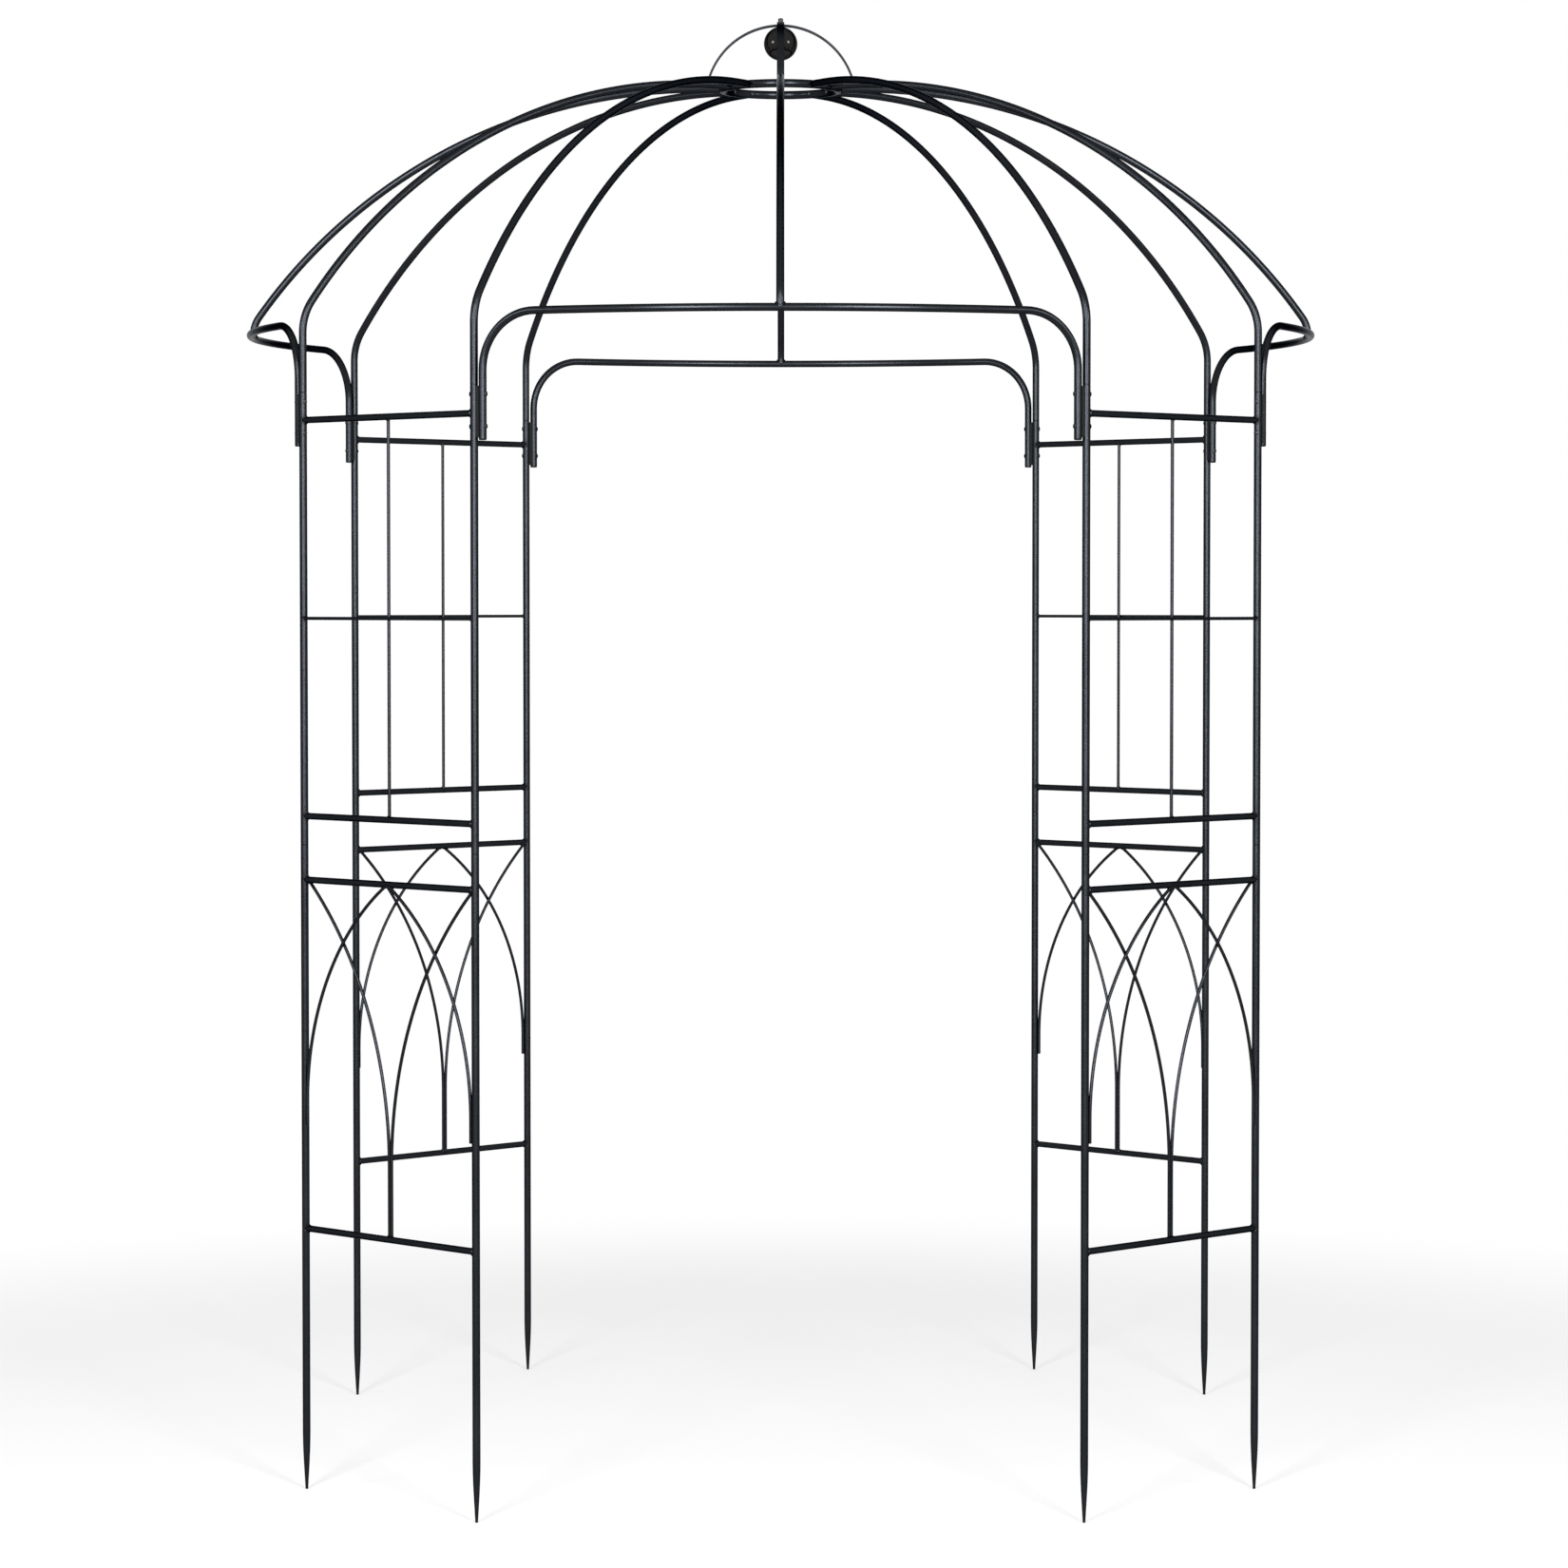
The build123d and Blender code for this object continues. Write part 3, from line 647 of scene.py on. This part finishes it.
def header_half():
    """Left half, foot to middle: points and directions. The bend is
    corner - inward c cos b + up c sin b, with direction inward sin b + up cos b."""
    leg = on_circle(POST_CIRCLE, -LEG_ANGLE)
    end = on_circle(BOW, -BOW_ANGLE)
    inward = unit(end - leg)
    heights = np.append(stretch(LEG_END + EDGE, HEADER - CORNER), HEADER - CORNER)
    straight = leg + heights[:, None] * UP
    b = np.radians(np.linspace(0, 90, 19)[1:])[:, None]
    bend = end + (HEADER - CORNER) * UP - inward * CORNER * np.cos(b) + UP * CORNER * np.sin(b)
    t = np.radians(np.linspace(-BOW_ANGLE, 0, 27)[1:])
    bow = points_at(BOW * np.sin(t), -BOW * np.cos(t), HEADER)
    bow_way = points_at(np.cos(t), np.sin(t), 0)
    ways = [np.tile(UP, (len(straight), 1)), inward * np.sin(b) + UP * np.cos(b), bow_way]
    return np.concatenate([straight, bend, bow]), np.concatenate(ways)


def tube_along(line, way, side, radius):
    """Circle carried along a line: line + r (cos a side + sin a (way x side)), with side made square
    to way."""
    side = unit(side - (side * way).sum(1, keepdims=True) * way)
    over = np.cross(way, side)
    a = round_angles(TUBE_SIDES)[None, :, None]
    size = np.broadcast_to(radius, len(line))[:, None, None]
    return line[:, None] + size * (side[:, None] * np.cos(a) + over[:, None] * np.sin(a))


def header():
    """Both halves as one line, the cut ends rounded."""
    line, way = header_half()
    line = np.concatenate([line, line[-2::-1] * MIRROR])
    way = np.concatenate([way, way[-2::-1] * -MIRROR])
    line = np.concatenate([line[:1] - EDGE * UP, line, line[-1:] - EDGE * UP])
    way = np.concatenate([way[:1], way, way[-1:]])
    radius = np.full(len(line), TUBE)
    radius[[0, -1]] = TUBE - EDGE
    outward = line * np.array([1, 1, 0])
    return skin(tube_along(line, way, outward, radius))


front_header = header()
for quarter, (side, _, _) in enumerate(OPEN_SIDES):
    piece(f"bowed_header_{side}", moved(front_header, 90 * quarter), "powder_coat", f"header_{side}")
report("headers:")

# %% [markdown]
# ## Dome ribs
# A rib rises straight, bends, follows one long arc of the dome and runs level into the crown ring.
# A spline through a few points would come close, but arcs that meet with the same heading give the
# even curve of bent tube. The heading grows from upright to level. The last section is hollowed to
# the ring, a torus: at height z and sideways y its outside is at sqrt((R + hollow(z))^2 - y^2) from
# the axis.

# %% Rib line and tube
RING_HEIGHT = 2.583
RING = 0.110
RING_TUBE = 0.008
CROWN_FOOT = 0.1475
HOOP_THICK = 0.004
RIB_LEVEL = CROWN_FOOT + 2 * HOOP_THICK
POST_RIB = {"start": POST_CIRCLE, "bend_height": POST_TOP + 0.107, "bend": 0.100}
HEADER_RIB = {"start": BOW, "bend_height": HEADER + 0.0055, "bend": 0.060}
SADDLE = 0.985           # keeps the foot's bead off the widest line of the header


def rib_line(start, bend_height, bend):
    """Distance, height and heading (radians from upright) of a rib from its bend to the ring. Where
    the bend meets the dome's arc the slope is twice that of the chord, so the arc ends level."""
    across = start - RIB_LEVEL - bend
    slope = 2 * np.arctan((RING_HEIGHT - bend_height - bend) / across)
    dome = bend + across / np.sin(slope)
    first = np.linspace(0, np.pi / 2 - slope, 11)[:-1]
    second = np.linspace(np.pi / 2 - slope, np.pi / 2, 64)
    distance = np.append(start - bend * (1 - np.cos(first)), RIB_LEVEL + dome * np.cos(second))
    height = np.append(bend_height + bend * np.sin(first), RING_HEIGHT - dome * (1 - np.sin(second)))
    return distance, height, np.append(first, second)


def rib_tube(distance, height, heading):
    """Circle carried along a rib drawn with X as distance, its end hollowed to the ring."""
    line = points_at(distance, 0, height)
    way = points_at(-np.sin(heading), 0, np.cos(heading))
    side = points_at(np.cos(heading), 0, np.sin(heading))
    grid = tube_along(line, way, side, TUBE)
    y, z = grid[-1, :, 1], grid[-1, :, 2]
    ring_side = np.sqrt((RING + hollow(z - RING_HEIGHT, RING_TUBE)) ** 2 - y**2)
    return np.concatenate([grid, points_at(ring_side, y, z)[None]])


def post_rib():
    """Rib that stands on a post top: a neck inside the post, a rounded shoulder, the straight stretch,
    then the rib's line."""
    tube = rib_tube(*rib_line(**POST_RIB))
    neck = [(SPIGOT, POST_TOP - SPIGOT_LENGTH), (SPIGOT, POST_TOP), (TUBE - EDGE, POST_TOP)]
    wall = [(TUBE, h) for h in stretch(POST_TOP + EDGE, POST_RIB["bend_height"])]
    radii, rises = np.array(neck + wall).T[:, :, None]
    a = round_angles(TUBE_SIDES)
    foot = points_at(POST_CIRCLE + radii * np.cos(a), radii * np.sin(a), rises)
    return skin(np.concatenate([foot, tube]))


def header_rib():
    """Rib welded on the middle of a header: its foot is hollowed to the header's tube."""
    tube = rib_tube(*rib_line(**HEADER_RIB))
    clear = tube[:, :, 2].min(1) > HEADER + TUBE
    a = round_angles(TUBE_SIDES)
    x, y = TUBE * np.cos(a), TUBE * np.sin(a)
    foot = points_at(BOW + x, y, HEADER + hollow(x, TUBE))
    a, reach = round_angles(64), TUBE + RAIL_SEAT
    lift = HEADER + hollow(SADDLE * reach * np.cos(a), reach)
    seam = points_at(BOW + reach * np.cos(a), reach * np.sin(a), lift)
    return join([skin(np.concatenate([foot[None], tube[clear]])), bead(seam, RAIL_WELD, ripples=16)])


post_rib_surface, header_rib_surface = post_rib(), header_rib()
print("rib surfaces:", len(post_rib_surface[0]), "and", len(header_rib_surface[0]), "points")

# %% Set up the ribs
for quarter, (side, ends, _) in enumerate(OPEN_SIDES):
    front = 90 * quarter - 90
    for hand, end in zip((-1, 1), ends):
        placed = moved(post_rib_surface, front + hand * POST_ANGLE)
        piece(f"dome_rib_{side}_{end}", placed, "powder_coat", f"post_rib_{side}_{end}")
    piece(f"dome_rib_{side}", moved(header_rib_surface, front), "powder_coat", f"header_rib_{side}")
report("ribs:")

# %% [markdown]
# ## Bolts, nuts, spacers and plugs
# Two bolts clamp each header leg to its post. They have low domed heads, and go into sleeve nuts
# with the same heads on the far side of the post, so that nothing stands out to catch on. A moulded
# strip fills the gap between the two tubes, and a plug closes the end of the leg.
#
# A head is a dome with a hexagon socket. The socket could be cut with a Boolean, but the rows of
# the dome can also go on down into the hexagon, which keeps the mesh clean. The hexagon's radius is
# half the flats divided by the cosine of the angle to the nearest flat.

# %% Socket heads
SOCKET_FLATS = 0.003
SOCKET_LIP = 1.3         # flat circle round the socket, as a part of its flats
SOCKET_STEP = 0.00005    # drop from that circle to the socket's edge
HEAD_SIDES = 36
HEAD_FOOT = 0.96         # eased foot of a head, as a part of its radius
SHANK_SIDES = 24


def hex_radius(angles, flats):
    """Radius of a hexagon: half the flats over the cosine of the angle to the nearest flat."""
    return flats / 2 / np.cos((angles + np.pi / 6) % (np.pi / 3) - np.pi / 6)


def rows_round(rows, angles):
    """Grid of rows (radius, height), where a radius may differ from angle to angle."""
    return np.stack([points_at(r * np.cos(angles), r * np.sin(angles), z) for r, z in rows])


def socket_head(radius, height, rim, socket_depth):
    """Head along +Z: straight rim, then r = R sin t and z = height - R (1 - cos t) on a dome of
    radius R, and a hexagon socket sunk into its top."""
    rise = height - rim
    dome = (radius**2 + rise**2) / (2 * rise)
    a = round_angles(HEAD_SIDES)
    lip = SOCKET_LIP * SOCKET_FLATS / 2
    t = np.linspace(np.arcsin(radius / dome), np.arcsin(lip / dome), 7)
    rows = [(HEAD_FOOT * radius, 0.0), (radius, 0.08 * rim)]
    rows += [(dome * np.sin(angle), height - dome * (1 - np.cos(angle))) for angle in t]
    socket = hex_radius(a, SOCKET_FLATS)
    rows += [(socket, rows[-1][1] - SOCKET_STEP), (socket, height - socket_depth)]
    return skin(rows_round(rows, a))


def shank(radius, length):
    """Plain round bar along +Z."""
    return turned([(radius, 0), (radius, length)], SHANK_SIDES)


def aimed(surface, start, way):
    """A surface drawn along +Z set at a start point, its +Z along a level direction and its +X up."""
    way = unit(np.asarray(way, float))
    axes = np.stack([UP, np.cross(way, UP), way])
    return surface[0] @ axes + start, surface[1]


print("socket heads: hexagons of", round(1000 * SOCKET_FLATS, 1), "mm across flats")

# %% Strips and plugs
STRIP_DEPTH = 0.009
STRIP_GAP = 0.003        # strip short of the leg's end and of the post's top
PLUG_FLANGE = 0.002
PLUG_STEM = 0.011
PLUG_GAP = 0.0001


def spacer_strip(leg, way):
    """Strip between leg and post: its outline follows both tubes, u = hollow(v) on the leg's side and
    u = spacing - hollow(v) on the post's side, and is carried up with its ends a little drawn in."""
    v = np.linspace(-1, 1, 13) * STRIP_DEPTH / 2
    across = np.linspace(0, 1, 5)[1:-1]
    near, far = hollow(v, TUBE), LEG_SPACING - hollow(v, TUBE)
    face = near[0] + across * (far[0] - near[0])
    u = np.concatenate([face, far, face[::-1], near[::-1]])
    edge = np.full(len(face), STRIP_DEPTH / 2)
    v = np.concatenate([-edge, v, edge, v[::-1]])
    low, high = LEG_END + STRIP_GAP, POST_TOP - STRIP_GAP
    rises = np.concatenate([[low], stretch(low + EDGE, high - EDGE), [high - EDGE, high]])
    drawn = np.where((rises == low) | (rises == high), 1 - EDGE / STRIP_DEPTH * 2, 1.0)[:, None]
    out = np.cross(UP, way)
    grid = leg + (u * np.ones_like(drawn))[..., None] * way + (v * drawn)[..., None] * out
    return skin(grid + rises[:, None, None] * UP)


def end_plug():
    """Turned plastic plug: quarter-round flange under the leg's end and a stem inside it."""
    t = np.radians(np.linspace(-90, 0, 6))
    rim = points_at(TUBE - PLUG_FLANGE * (1 - np.cos(t)), 0, LEG_END + PLUG_FLANGE * np.sin(t))
    stem = BORE - PLUG_GAP
    return turned(rim[:, [0, 2]].tolist() + [(stem, LEG_END), (stem, LEG_END + PLUG_STEM)])


print("strips:", round(1000 * (POST_TOP - LEG_END - 2 * STRIP_GAP)), "mm long")

# %% Header fasteners
BOLT = 0.0025
BOLT_HEAD = {"radius": 0.0045, "height": 0.002, "rim": 0.0006, "socket_depth": 0.0012}
BOLT_LENGTH = LEG_SPACING + 2 * TUBE - EDGE
SLEEVE = 0.0035
SLEEVE_LENGTH = 0.009


def round_four(surfaces):
    """The front side's pieces, turned to all four sides."""
    front = join(surfaces)
    return join([moved(front, 90 * quarter) for quarter in range(4)])


bolts, nuts, strips, plugs = [], [], [], []
for hand in (-1, 1):
    leg, post = on_circle(POST_CIRCLE, hand * LEG_ANGLE), on_circle(POST_CIRCLE, hand * POST_ANGLE)
    way = unit(post - leg)
    plugs.append(moved(end_plug(), 0, leg))
    strips.append(spacer_strip(leg, way))
    for height in BOLT_HEIGHTS:
        seat, back = leg + height * UP - way * TUBE, post + height * UP + way * TUBE
        bolts.append(aimed(socket_head(**BOLT_HEAD), seat, -way))
        bolts.append(aimed(shank(BOLT, BOLT_LENGTH), seat, way))
        nuts.append(aimed(socket_head(**BOLT_HEAD), back, way))
        nuts.append(aimed(shank(SLEEVE, SLEEVE_LENGTH), back, -way))
piece("socket_bolts", round_four(bolts), "fastener", "header_bolts")
piece("sleeve_nuts", round_four(nuts), "fastener", "header_nuts")
piece("spacer_strips", round_four(strips), "black_plastic", "spacer_saddles")
piece("leg_end_plugs", round_four(plugs), "black_plastic", "leg_plugs")
report("fasteners:")

# %% [markdown]
# ## Crown ring and its screws
# The ring is a torus of tube. Blender's own torus would do, but this one takes its values from the
# ribs that end on it. A button screw goes through it from inside into the threaded plug in each
# rib's end, so twelve small heads with hexagon sockets sit on the inner side of the ring.

# %% Ring and button screws
RING_ROWS = 160
SCREW_HEAD = {"radius": 0.0045, "height": 0.0035, "rim": 0.0012, "socket_depth": 0.0019}
SCREW = 0.0025
SEAT_GAP = 0.00015
SCREW_LENGTH = 2 * RING_TUBE + SEAT_GAP + 0.015


def crown_ring():
    """Torus: (R + r cos b) round the axis and r sin b down."""
    t, b = round_angles(RING_ROWS)[:, None], round_angles(TUBE_SIDES)[None]
    out = RING + RING_TUBE * np.cos(b)
    grid = points_at(out * np.cos(t), out * np.sin(t), RING_HEIGHT - RING_TUBE * np.sin(b))
    return skin(grid, closed=True)


screws = []
for quarter in range(4):
    for angle in (0, POST_ANGLE, -POST_ANGLE):
        way = on_circle(1, 90 * quarter + angle)
        seat = way * (RING - RING_TUBE - SEAT_GAP) + RING_HEIGHT * UP
        screws.append(aimed(socket_head(**SCREW_HEAD), seat, -way))
        screws.append(aimed(shank(SCREW, SCREW_LENGTH), seat, way))
piece("crown_ring_tube", crown_ring(), "powder_coat", "crown_ring")
piece("button_screws", join(screws), "fastener", "ring_screws")
report("ring:")

# %% [markdown]
# ## Crown hoops
# Two flat bars are rolled to arcs and cross on top, one over the other. A curve with a bevel object
# would cut both feet square. Here the section is a rectangle with rounded edges, and each point of
# it runs along its own arc, from s = -1 at one foot to s = 1 at the other, and stops at the height
# where it meets the rib under it, so the feet sit on the ribs.

# %% Hoops
CROWN_RISE = 0.1265
HOOP_WIDTH = 0.014
HOOP_EDGE = 0.0008
HOOP_ROWS = 121
HOOP_ARC = (CROWN_FOOT**2 + CROWN_RISE**2) / (2 * CROWN_RISE)
HOOP_MIDDLE = RING_HEIGHT + CROWN_RISE - HOOP_ARC
HOOP_DROP = HOOP_THICK + HOOP_WIDTH**2 / (8 * (HOOP_ARC - HOOP_THICK)) + SEAT_GAP
SEAM_REACH = 0.93        # length of a foot's bead, as a part of the bar's width
SEAM_OFF = 0.0004        # its distance from the bar
SEAM_LIFT = 0.0002       # and from the rib


def bar_section(width, thick, edge, corner_points=5):
    """Rounded rectangle: four quarter circles, each about its own corner."""
    a = np.radians(np.linspace(0, 90, corner_points))
    quarters = [a + k * np.pi / 2 for k in range(4)]
    signs = ((1, 1), (-1, 1), (-1, -1), (1, -1))
    u = [sx * (width / 2 - edge) + edge * np.cos(q) for (sx, _), q in zip(signs, quarters)]
    v = [sy * (thick / 2 - edge) + edge * np.sin(q) for (_, sy), q in zip(signs, quarters)]
    return np.concatenate(u), np.concatenate(v)


def hoop(outer):
    """Flat bar on an arc in the YZ plane: (u, rho sin t, middle + rho cos t), where t is s times the
    foot's angle."""
    u, v = bar_section(HOOP_WIDTH, HOOP_THICK, HOOP_EDGE)
    rho = outer - HOOP_THICK / 2 + v
    foot = np.arccos((RING_HEIGHT + hollow(u, TUBE) - HOOP_MIDDLE) / rho)
    t = np.linspace(-1, 1, HOOP_ROWS)[:, None] * foot
    band = points_at(u, rho * np.sin(t), HOOP_MIDDLE + rho * np.cos(t))
    across = np.linspace(-SEAM_REACH, SEAM_REACH, 15) * HOOP_WIDTH / 2
    lift = RING_HEIGHT + hollow(across, TUBE) + SEAM_LIFT
    welds = []
    for face in (outer + SEAM_OFF, outer - HOOP_THICK - SEAM_OFF):
        seam = points_at(across, np.sqrt(face**2 - (lift - HOOP_MIDDLE) ** 2), lift)
        welds.append(bead(seam, WIRE_WELD, closed=False))
    welds = join(welds)
    return join([skin(band[:, ::-1]), welds, moved(welds, 180)])


piece("hoop_over", hoop(HOOP_ARC), "powder_coat", "crown_hoop_upper")
piece("hoop_under", moved(hoop(HOOP_ARC - HOOP_DROP), 90), "powder_coat", "crown_hoop_lower")
report("hoops:")

# %% [markdown]
# ## Ball and cap nut
# The ball hangs under the crossing on a stud, with a cap nut on top. The ball is a sphere by
# longitude and latitude, turned like a post so that its fans close both poles. The nut is a hexagon
# whose upper rows turn into a low dome. The stud and the plugs in the ribs are hidden, so they keep
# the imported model's shape and only get the finish of the fasteners.

# %% Ball and cap nut
BALL = 0.032
BALL_MIDDLE = RING_HEIGHT + CROWN_RISE - HOOP_DROP - HOOP_THICK - SEAT_GAP - BALL
BALL_SIDES = 96
POLE = 89.2              # latitude of the last row before a pole
CAP_FLATS = 0.010
CAP_HEIGHT = 0.008
CAP_DOME = 0.0018        # height of the low dome on the hexagon
CAP_SEAT = RING_HEIGHT + CROWN_RISE
CAP_SIDES = 48
CAP_CHAMFER = 30         # slope of the cut corners
CAP_SHOULDER = 0.96      # where the cut corners end, as a part of the flats
DOME_FOOT = 0.94         # and where the dome begins


def ball():
    """Sphere: latitude from pole to pole, radius r cos(latitude)."""
    latitude = np.radians(np.linspace(-POLE, POLE, 65))
    outline = np.stack([BALL * np.cos(latitude), BALL_MIDDLE + BALL * np.sin(latitude)], axis=-1)
    return turned(outline, BALL_SIDES)


def cap_nut():
    """Hexagon with a chamfered foot and shoulder, then a low dome of quarter-round rows."""
    a = round_angles(CAP_SIDES)
    radius = hex_radius(a, CAP_FLATS)
    inside = np.minimum(radius, CAP_SHOULDER * CAP_FLATS / 2)
    over = (radius - inside) * np.tan(np.radians(CAP_CHAMFER))
    hex_top, dome = CAP_HEIGHT - CAP_DOME, DOME_FOOT * CAP_FLATS / 2
    rows = [(inside, 0 * a), (radius, over), (radius, hex_top - over), (inside, hex_top)]
    for t in np.radians(np.linspace(0, 86, 9)):
        rows.append((dome * np.cos(t), hex_top + (CAP_HEIGHT - hex_top) * np.sin(t)))
    return moved(skin(rows_round(rows, a)), 0, (0, 0, CAP_SEAT))


piece("gloss_ball", ball(), "gloss_ball", "finial_ball")
piece("cap_nut", cap_nut(), "fastener", "finial_cap_nut")
report("finial:")
for node in ("rib_inserts", "finial_stud"):
    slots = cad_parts[node].data.materials
    slots.clear()
    slots.append(finishes["fastener"])

# %% [markdown]
# ## Floor, light and camera
# A plain pale floor catches the soft shadow of the posts. Near the pavilion it is lit like any
# floor; further out it turns into the same white as the surroundings, so no horizon shows. Stronger
# lamps would also make it white, but would bleach the pavilion. The white belongs to what the
# camera and reflections see, and adds no light to the object.

# %% Seen-ray mask and world
AMBIENT = 0.5
WHITE = (1, 1, 1, 1)


def seen_mask(tree):
    """1 for camera, glossy and transmission rays, which show the white surroundings, and 0 for
    others."""
    rays = add_node(tree, "ShaderNodeLightPath")
    first = add_node(tree, "ShaderNodeMath", operation="MAXIMUM")
    second = add_node(tree, "ShaderNodeMath", operation="MAXIMUM")
    tree.links.new(rays.outputs["Is Camera Ray"], first.inputs[0])
    tree.links.new(rays.outputs["Is Glossy Ray"], first.inputs[1])
    tree.links.new(first.outputs[0], second.inputs[0])
    tree.links.new(rays.outputs["Is Transmission Ray"], second.inputs[1])
    return second.outputs[0]


world = bpy.data.worlds.new("white_surroundings")
bpy.context.scene.world = world
world.use_nodes = True
tree = world.node_tree
tree.nodes.clear()
dim = add_node(tree, "ShaderNodeBackground", {"Color": WHITE, "Strength": AMBIENT})
white = add_node(tree, "ShaderNodeBackground", {"Color": WHITE, "Strength": 1.0})
choose = add_node(tree, "ShaderNodeMixShader")
output = add_node(tree, "ShaderNodeOutputWorld")
tree.links.new(seen_mask(tree), choose.inputs[0])
tree.links.new(dim.outputs[0], choose.inputs[1])
tree.links.new(white.outputs[0], choose.inputs[2])
tree.links.new(choose.outputs[0], output.inputs["Surface"])
print("world: white where it is seen,", AMBIENT, "as light")

# %% Floor
FLOOR_RADIUS = 9.0
FLOOR_SIDES = 96
FADE_START, FADE_END = 1.7, 3.6
FLOOR_ALBEDO = 0.36
FLOOR_GLOW = 0.49


def floor_material():
    """Pale matt floor plus a glow that only seen rays get; the glow takes over with distance."""
    material = bpy.data.materials.new("pale_floor")
    material.use_nodes = True
    tree = material.node_tree
    tree.nodes.clear()
    matt = add_node(tree, "ShaderNodeBsdfDiffuse", {"Color": (FLOOR_ALBEDO,) * 3 + (1,)})
    glow = add_node(tree, "ShaderNodeEmission", {"Color": WHITE})
    strength = add_node(tree, "ShaderNodeMath", {1: FLOOR_GLOW}, operation="MULTIPLY")
    seen = seen_mask(tree)
    tree.links.new(seen, strength.inputs[0])
    tree.links.new(strength.outputs[0], glow.inputs["Strength"])
    near = add_node(tree, "ShaderNodeAddShader")
    tree.links.new(matt.outputs[0], near.inputs[0])
    tree.links.new(glow.outputs[0], near.inputs[1])
    far = add_node(tree, "ShaderNodeEmission", {"Color": WHITE})
    tree.links.new(seen, far.inputs["Strength"])
    place = add_node(tree, "ShaderNodeTexCoord")
    away = add_node(tree, "ShaderNodeVectorMath", operation="LENGTH")
    tree.links.new(place.outputs["Object"], away.inputs[0])
    fade = add_node(tree, "ShaderNodeMapRange", {"From Min": FADE_START, "From Max": FADE_END},
                    interpolation_type="SMOOTHSTEP")
    tree.links.new(away.outputs["Value"], fade.inputs["Value"])
    both = add_node(tree, "ShaderNodeMixShader")
    tree.links.new(fade.outputs["Result"], both.inputs[0])
    tree.links.new(near.outputs[0], both.inputs[1])
    tree.links.new(far.outputs[0], both.inputs[2])
    output = add_node(tree, "ShaderNodeOutputMaterial")
    tree.links.new(both.outputs[0], output.inputs["Surface"])
    return material


a = round_angles(FLOOR_SIDES)
disc = FLOOR_RADIUS * points_at(np.cos(a), np.sin(a), 0)
floor_mesh = bpy.data.meshes.new("floor")
floor_mesh.from_pydata(disc.tolist(), [], [list(range(FLOOR_SIDES))])
floor_mesh.materials.append(floor_material())
floor = bpy.data.objects.new("floor", floor_mesh)
bpy.context.scene.collection.objects.link(floor)
print("floor: radius", FLOOR_RADIUS, "m")

# %% [markdown]
# Point lamps would leave only dots on round tube, so the light comes from soft boxes. Two tall ones
# stand in front of the pavilion, with a low strip between and beside them. Together they draw the
# broad streak down the middle of each post and the short bright streaks on the bowed headers, and
# leave what faces up dark. A smaller box on each side gives the ball its two highlights.

# %% Lamps
LAMPS = (
    # name, place, aim, width and height, power
    ("front_left_box", (-2.45, -7.4, 3.7), (0, 0, 2.1), (1.2, 5.2), 640),
    ("front_right_box", (2.45, -7.4, 3.7), (0, 0, 2.1), (1.2, 5.2), 640),
    ("front_strip", (0.0, -7.6, 1.9), (0, 0, 1.8), (4.5, 1.6), 100),
    ("left_box", (-6.1, -4.3, 3.6), (0, 0, 2.4), (1.7, 1.7), 150),
    ("right_box", (6.1, -4.3, 3.6), (0, 0, 2.4), (1.7, 1.7), 150),
)


def lamp(name, place, aim, size, power):
    """A rectangular soft box at a place, turned so that it faces its aim."""
    light = bpy.data.lights.new(name, "AREA")
    light.shape = "RECTANGLE"
    light.size, light.size_y = size
    light.energy = power
    box = bpy.data.objects.new(name, light)
    box.location = place
    box.rotation_euler = (Vector(aim) - Vector(place)).to_track_quat("-Z", "Y").to_euler()
    bpy.context.scene.collection.objects.link(box)


for values in LAMPS:
    lamp(*values)
print("lamps:", ", ".join(values[0] for values in LAMPS))

# %% [markdown]
# The photo was taken from far in front with a long lens. The place could be found by eye, but the
# back posts tell more: how much smaller they look than the front ones gives the distance, and the
# lens then follows from the width of the pavilion in the picture.

# %% Camera
CAMERA_PLACE = (0.0064, -9.400, 1.608)
CAMERA_PITCH = 2.12      # degrees that the view looks down
CAMERA_LENS = 112.9      # millimetres
CAMERA_SENSOR = 36       # millimetres wide

camera_data = bpy.data.cameras.new("photo_view")
camera_data.sensor_width = CAMERA_SENSOR
camera_data.lens = CAMERA_LENS
camera = bpy.data.objects.new("photo_view", camera_data)
camera.location = CAMERA_PLACE
camera.rotation_euler = (np.radians(90 - CAMERA_PITCH), 0, 0)
bpy.context.scene.collection.objects.link(camera)
bpy.context.scene.camera = camera
bpy.context.scene.view_settings.view_transform = "Standard"
print("camera:", CAMERA_LENS, "mm lens,", CAMERA_PITCH, "degrees down")
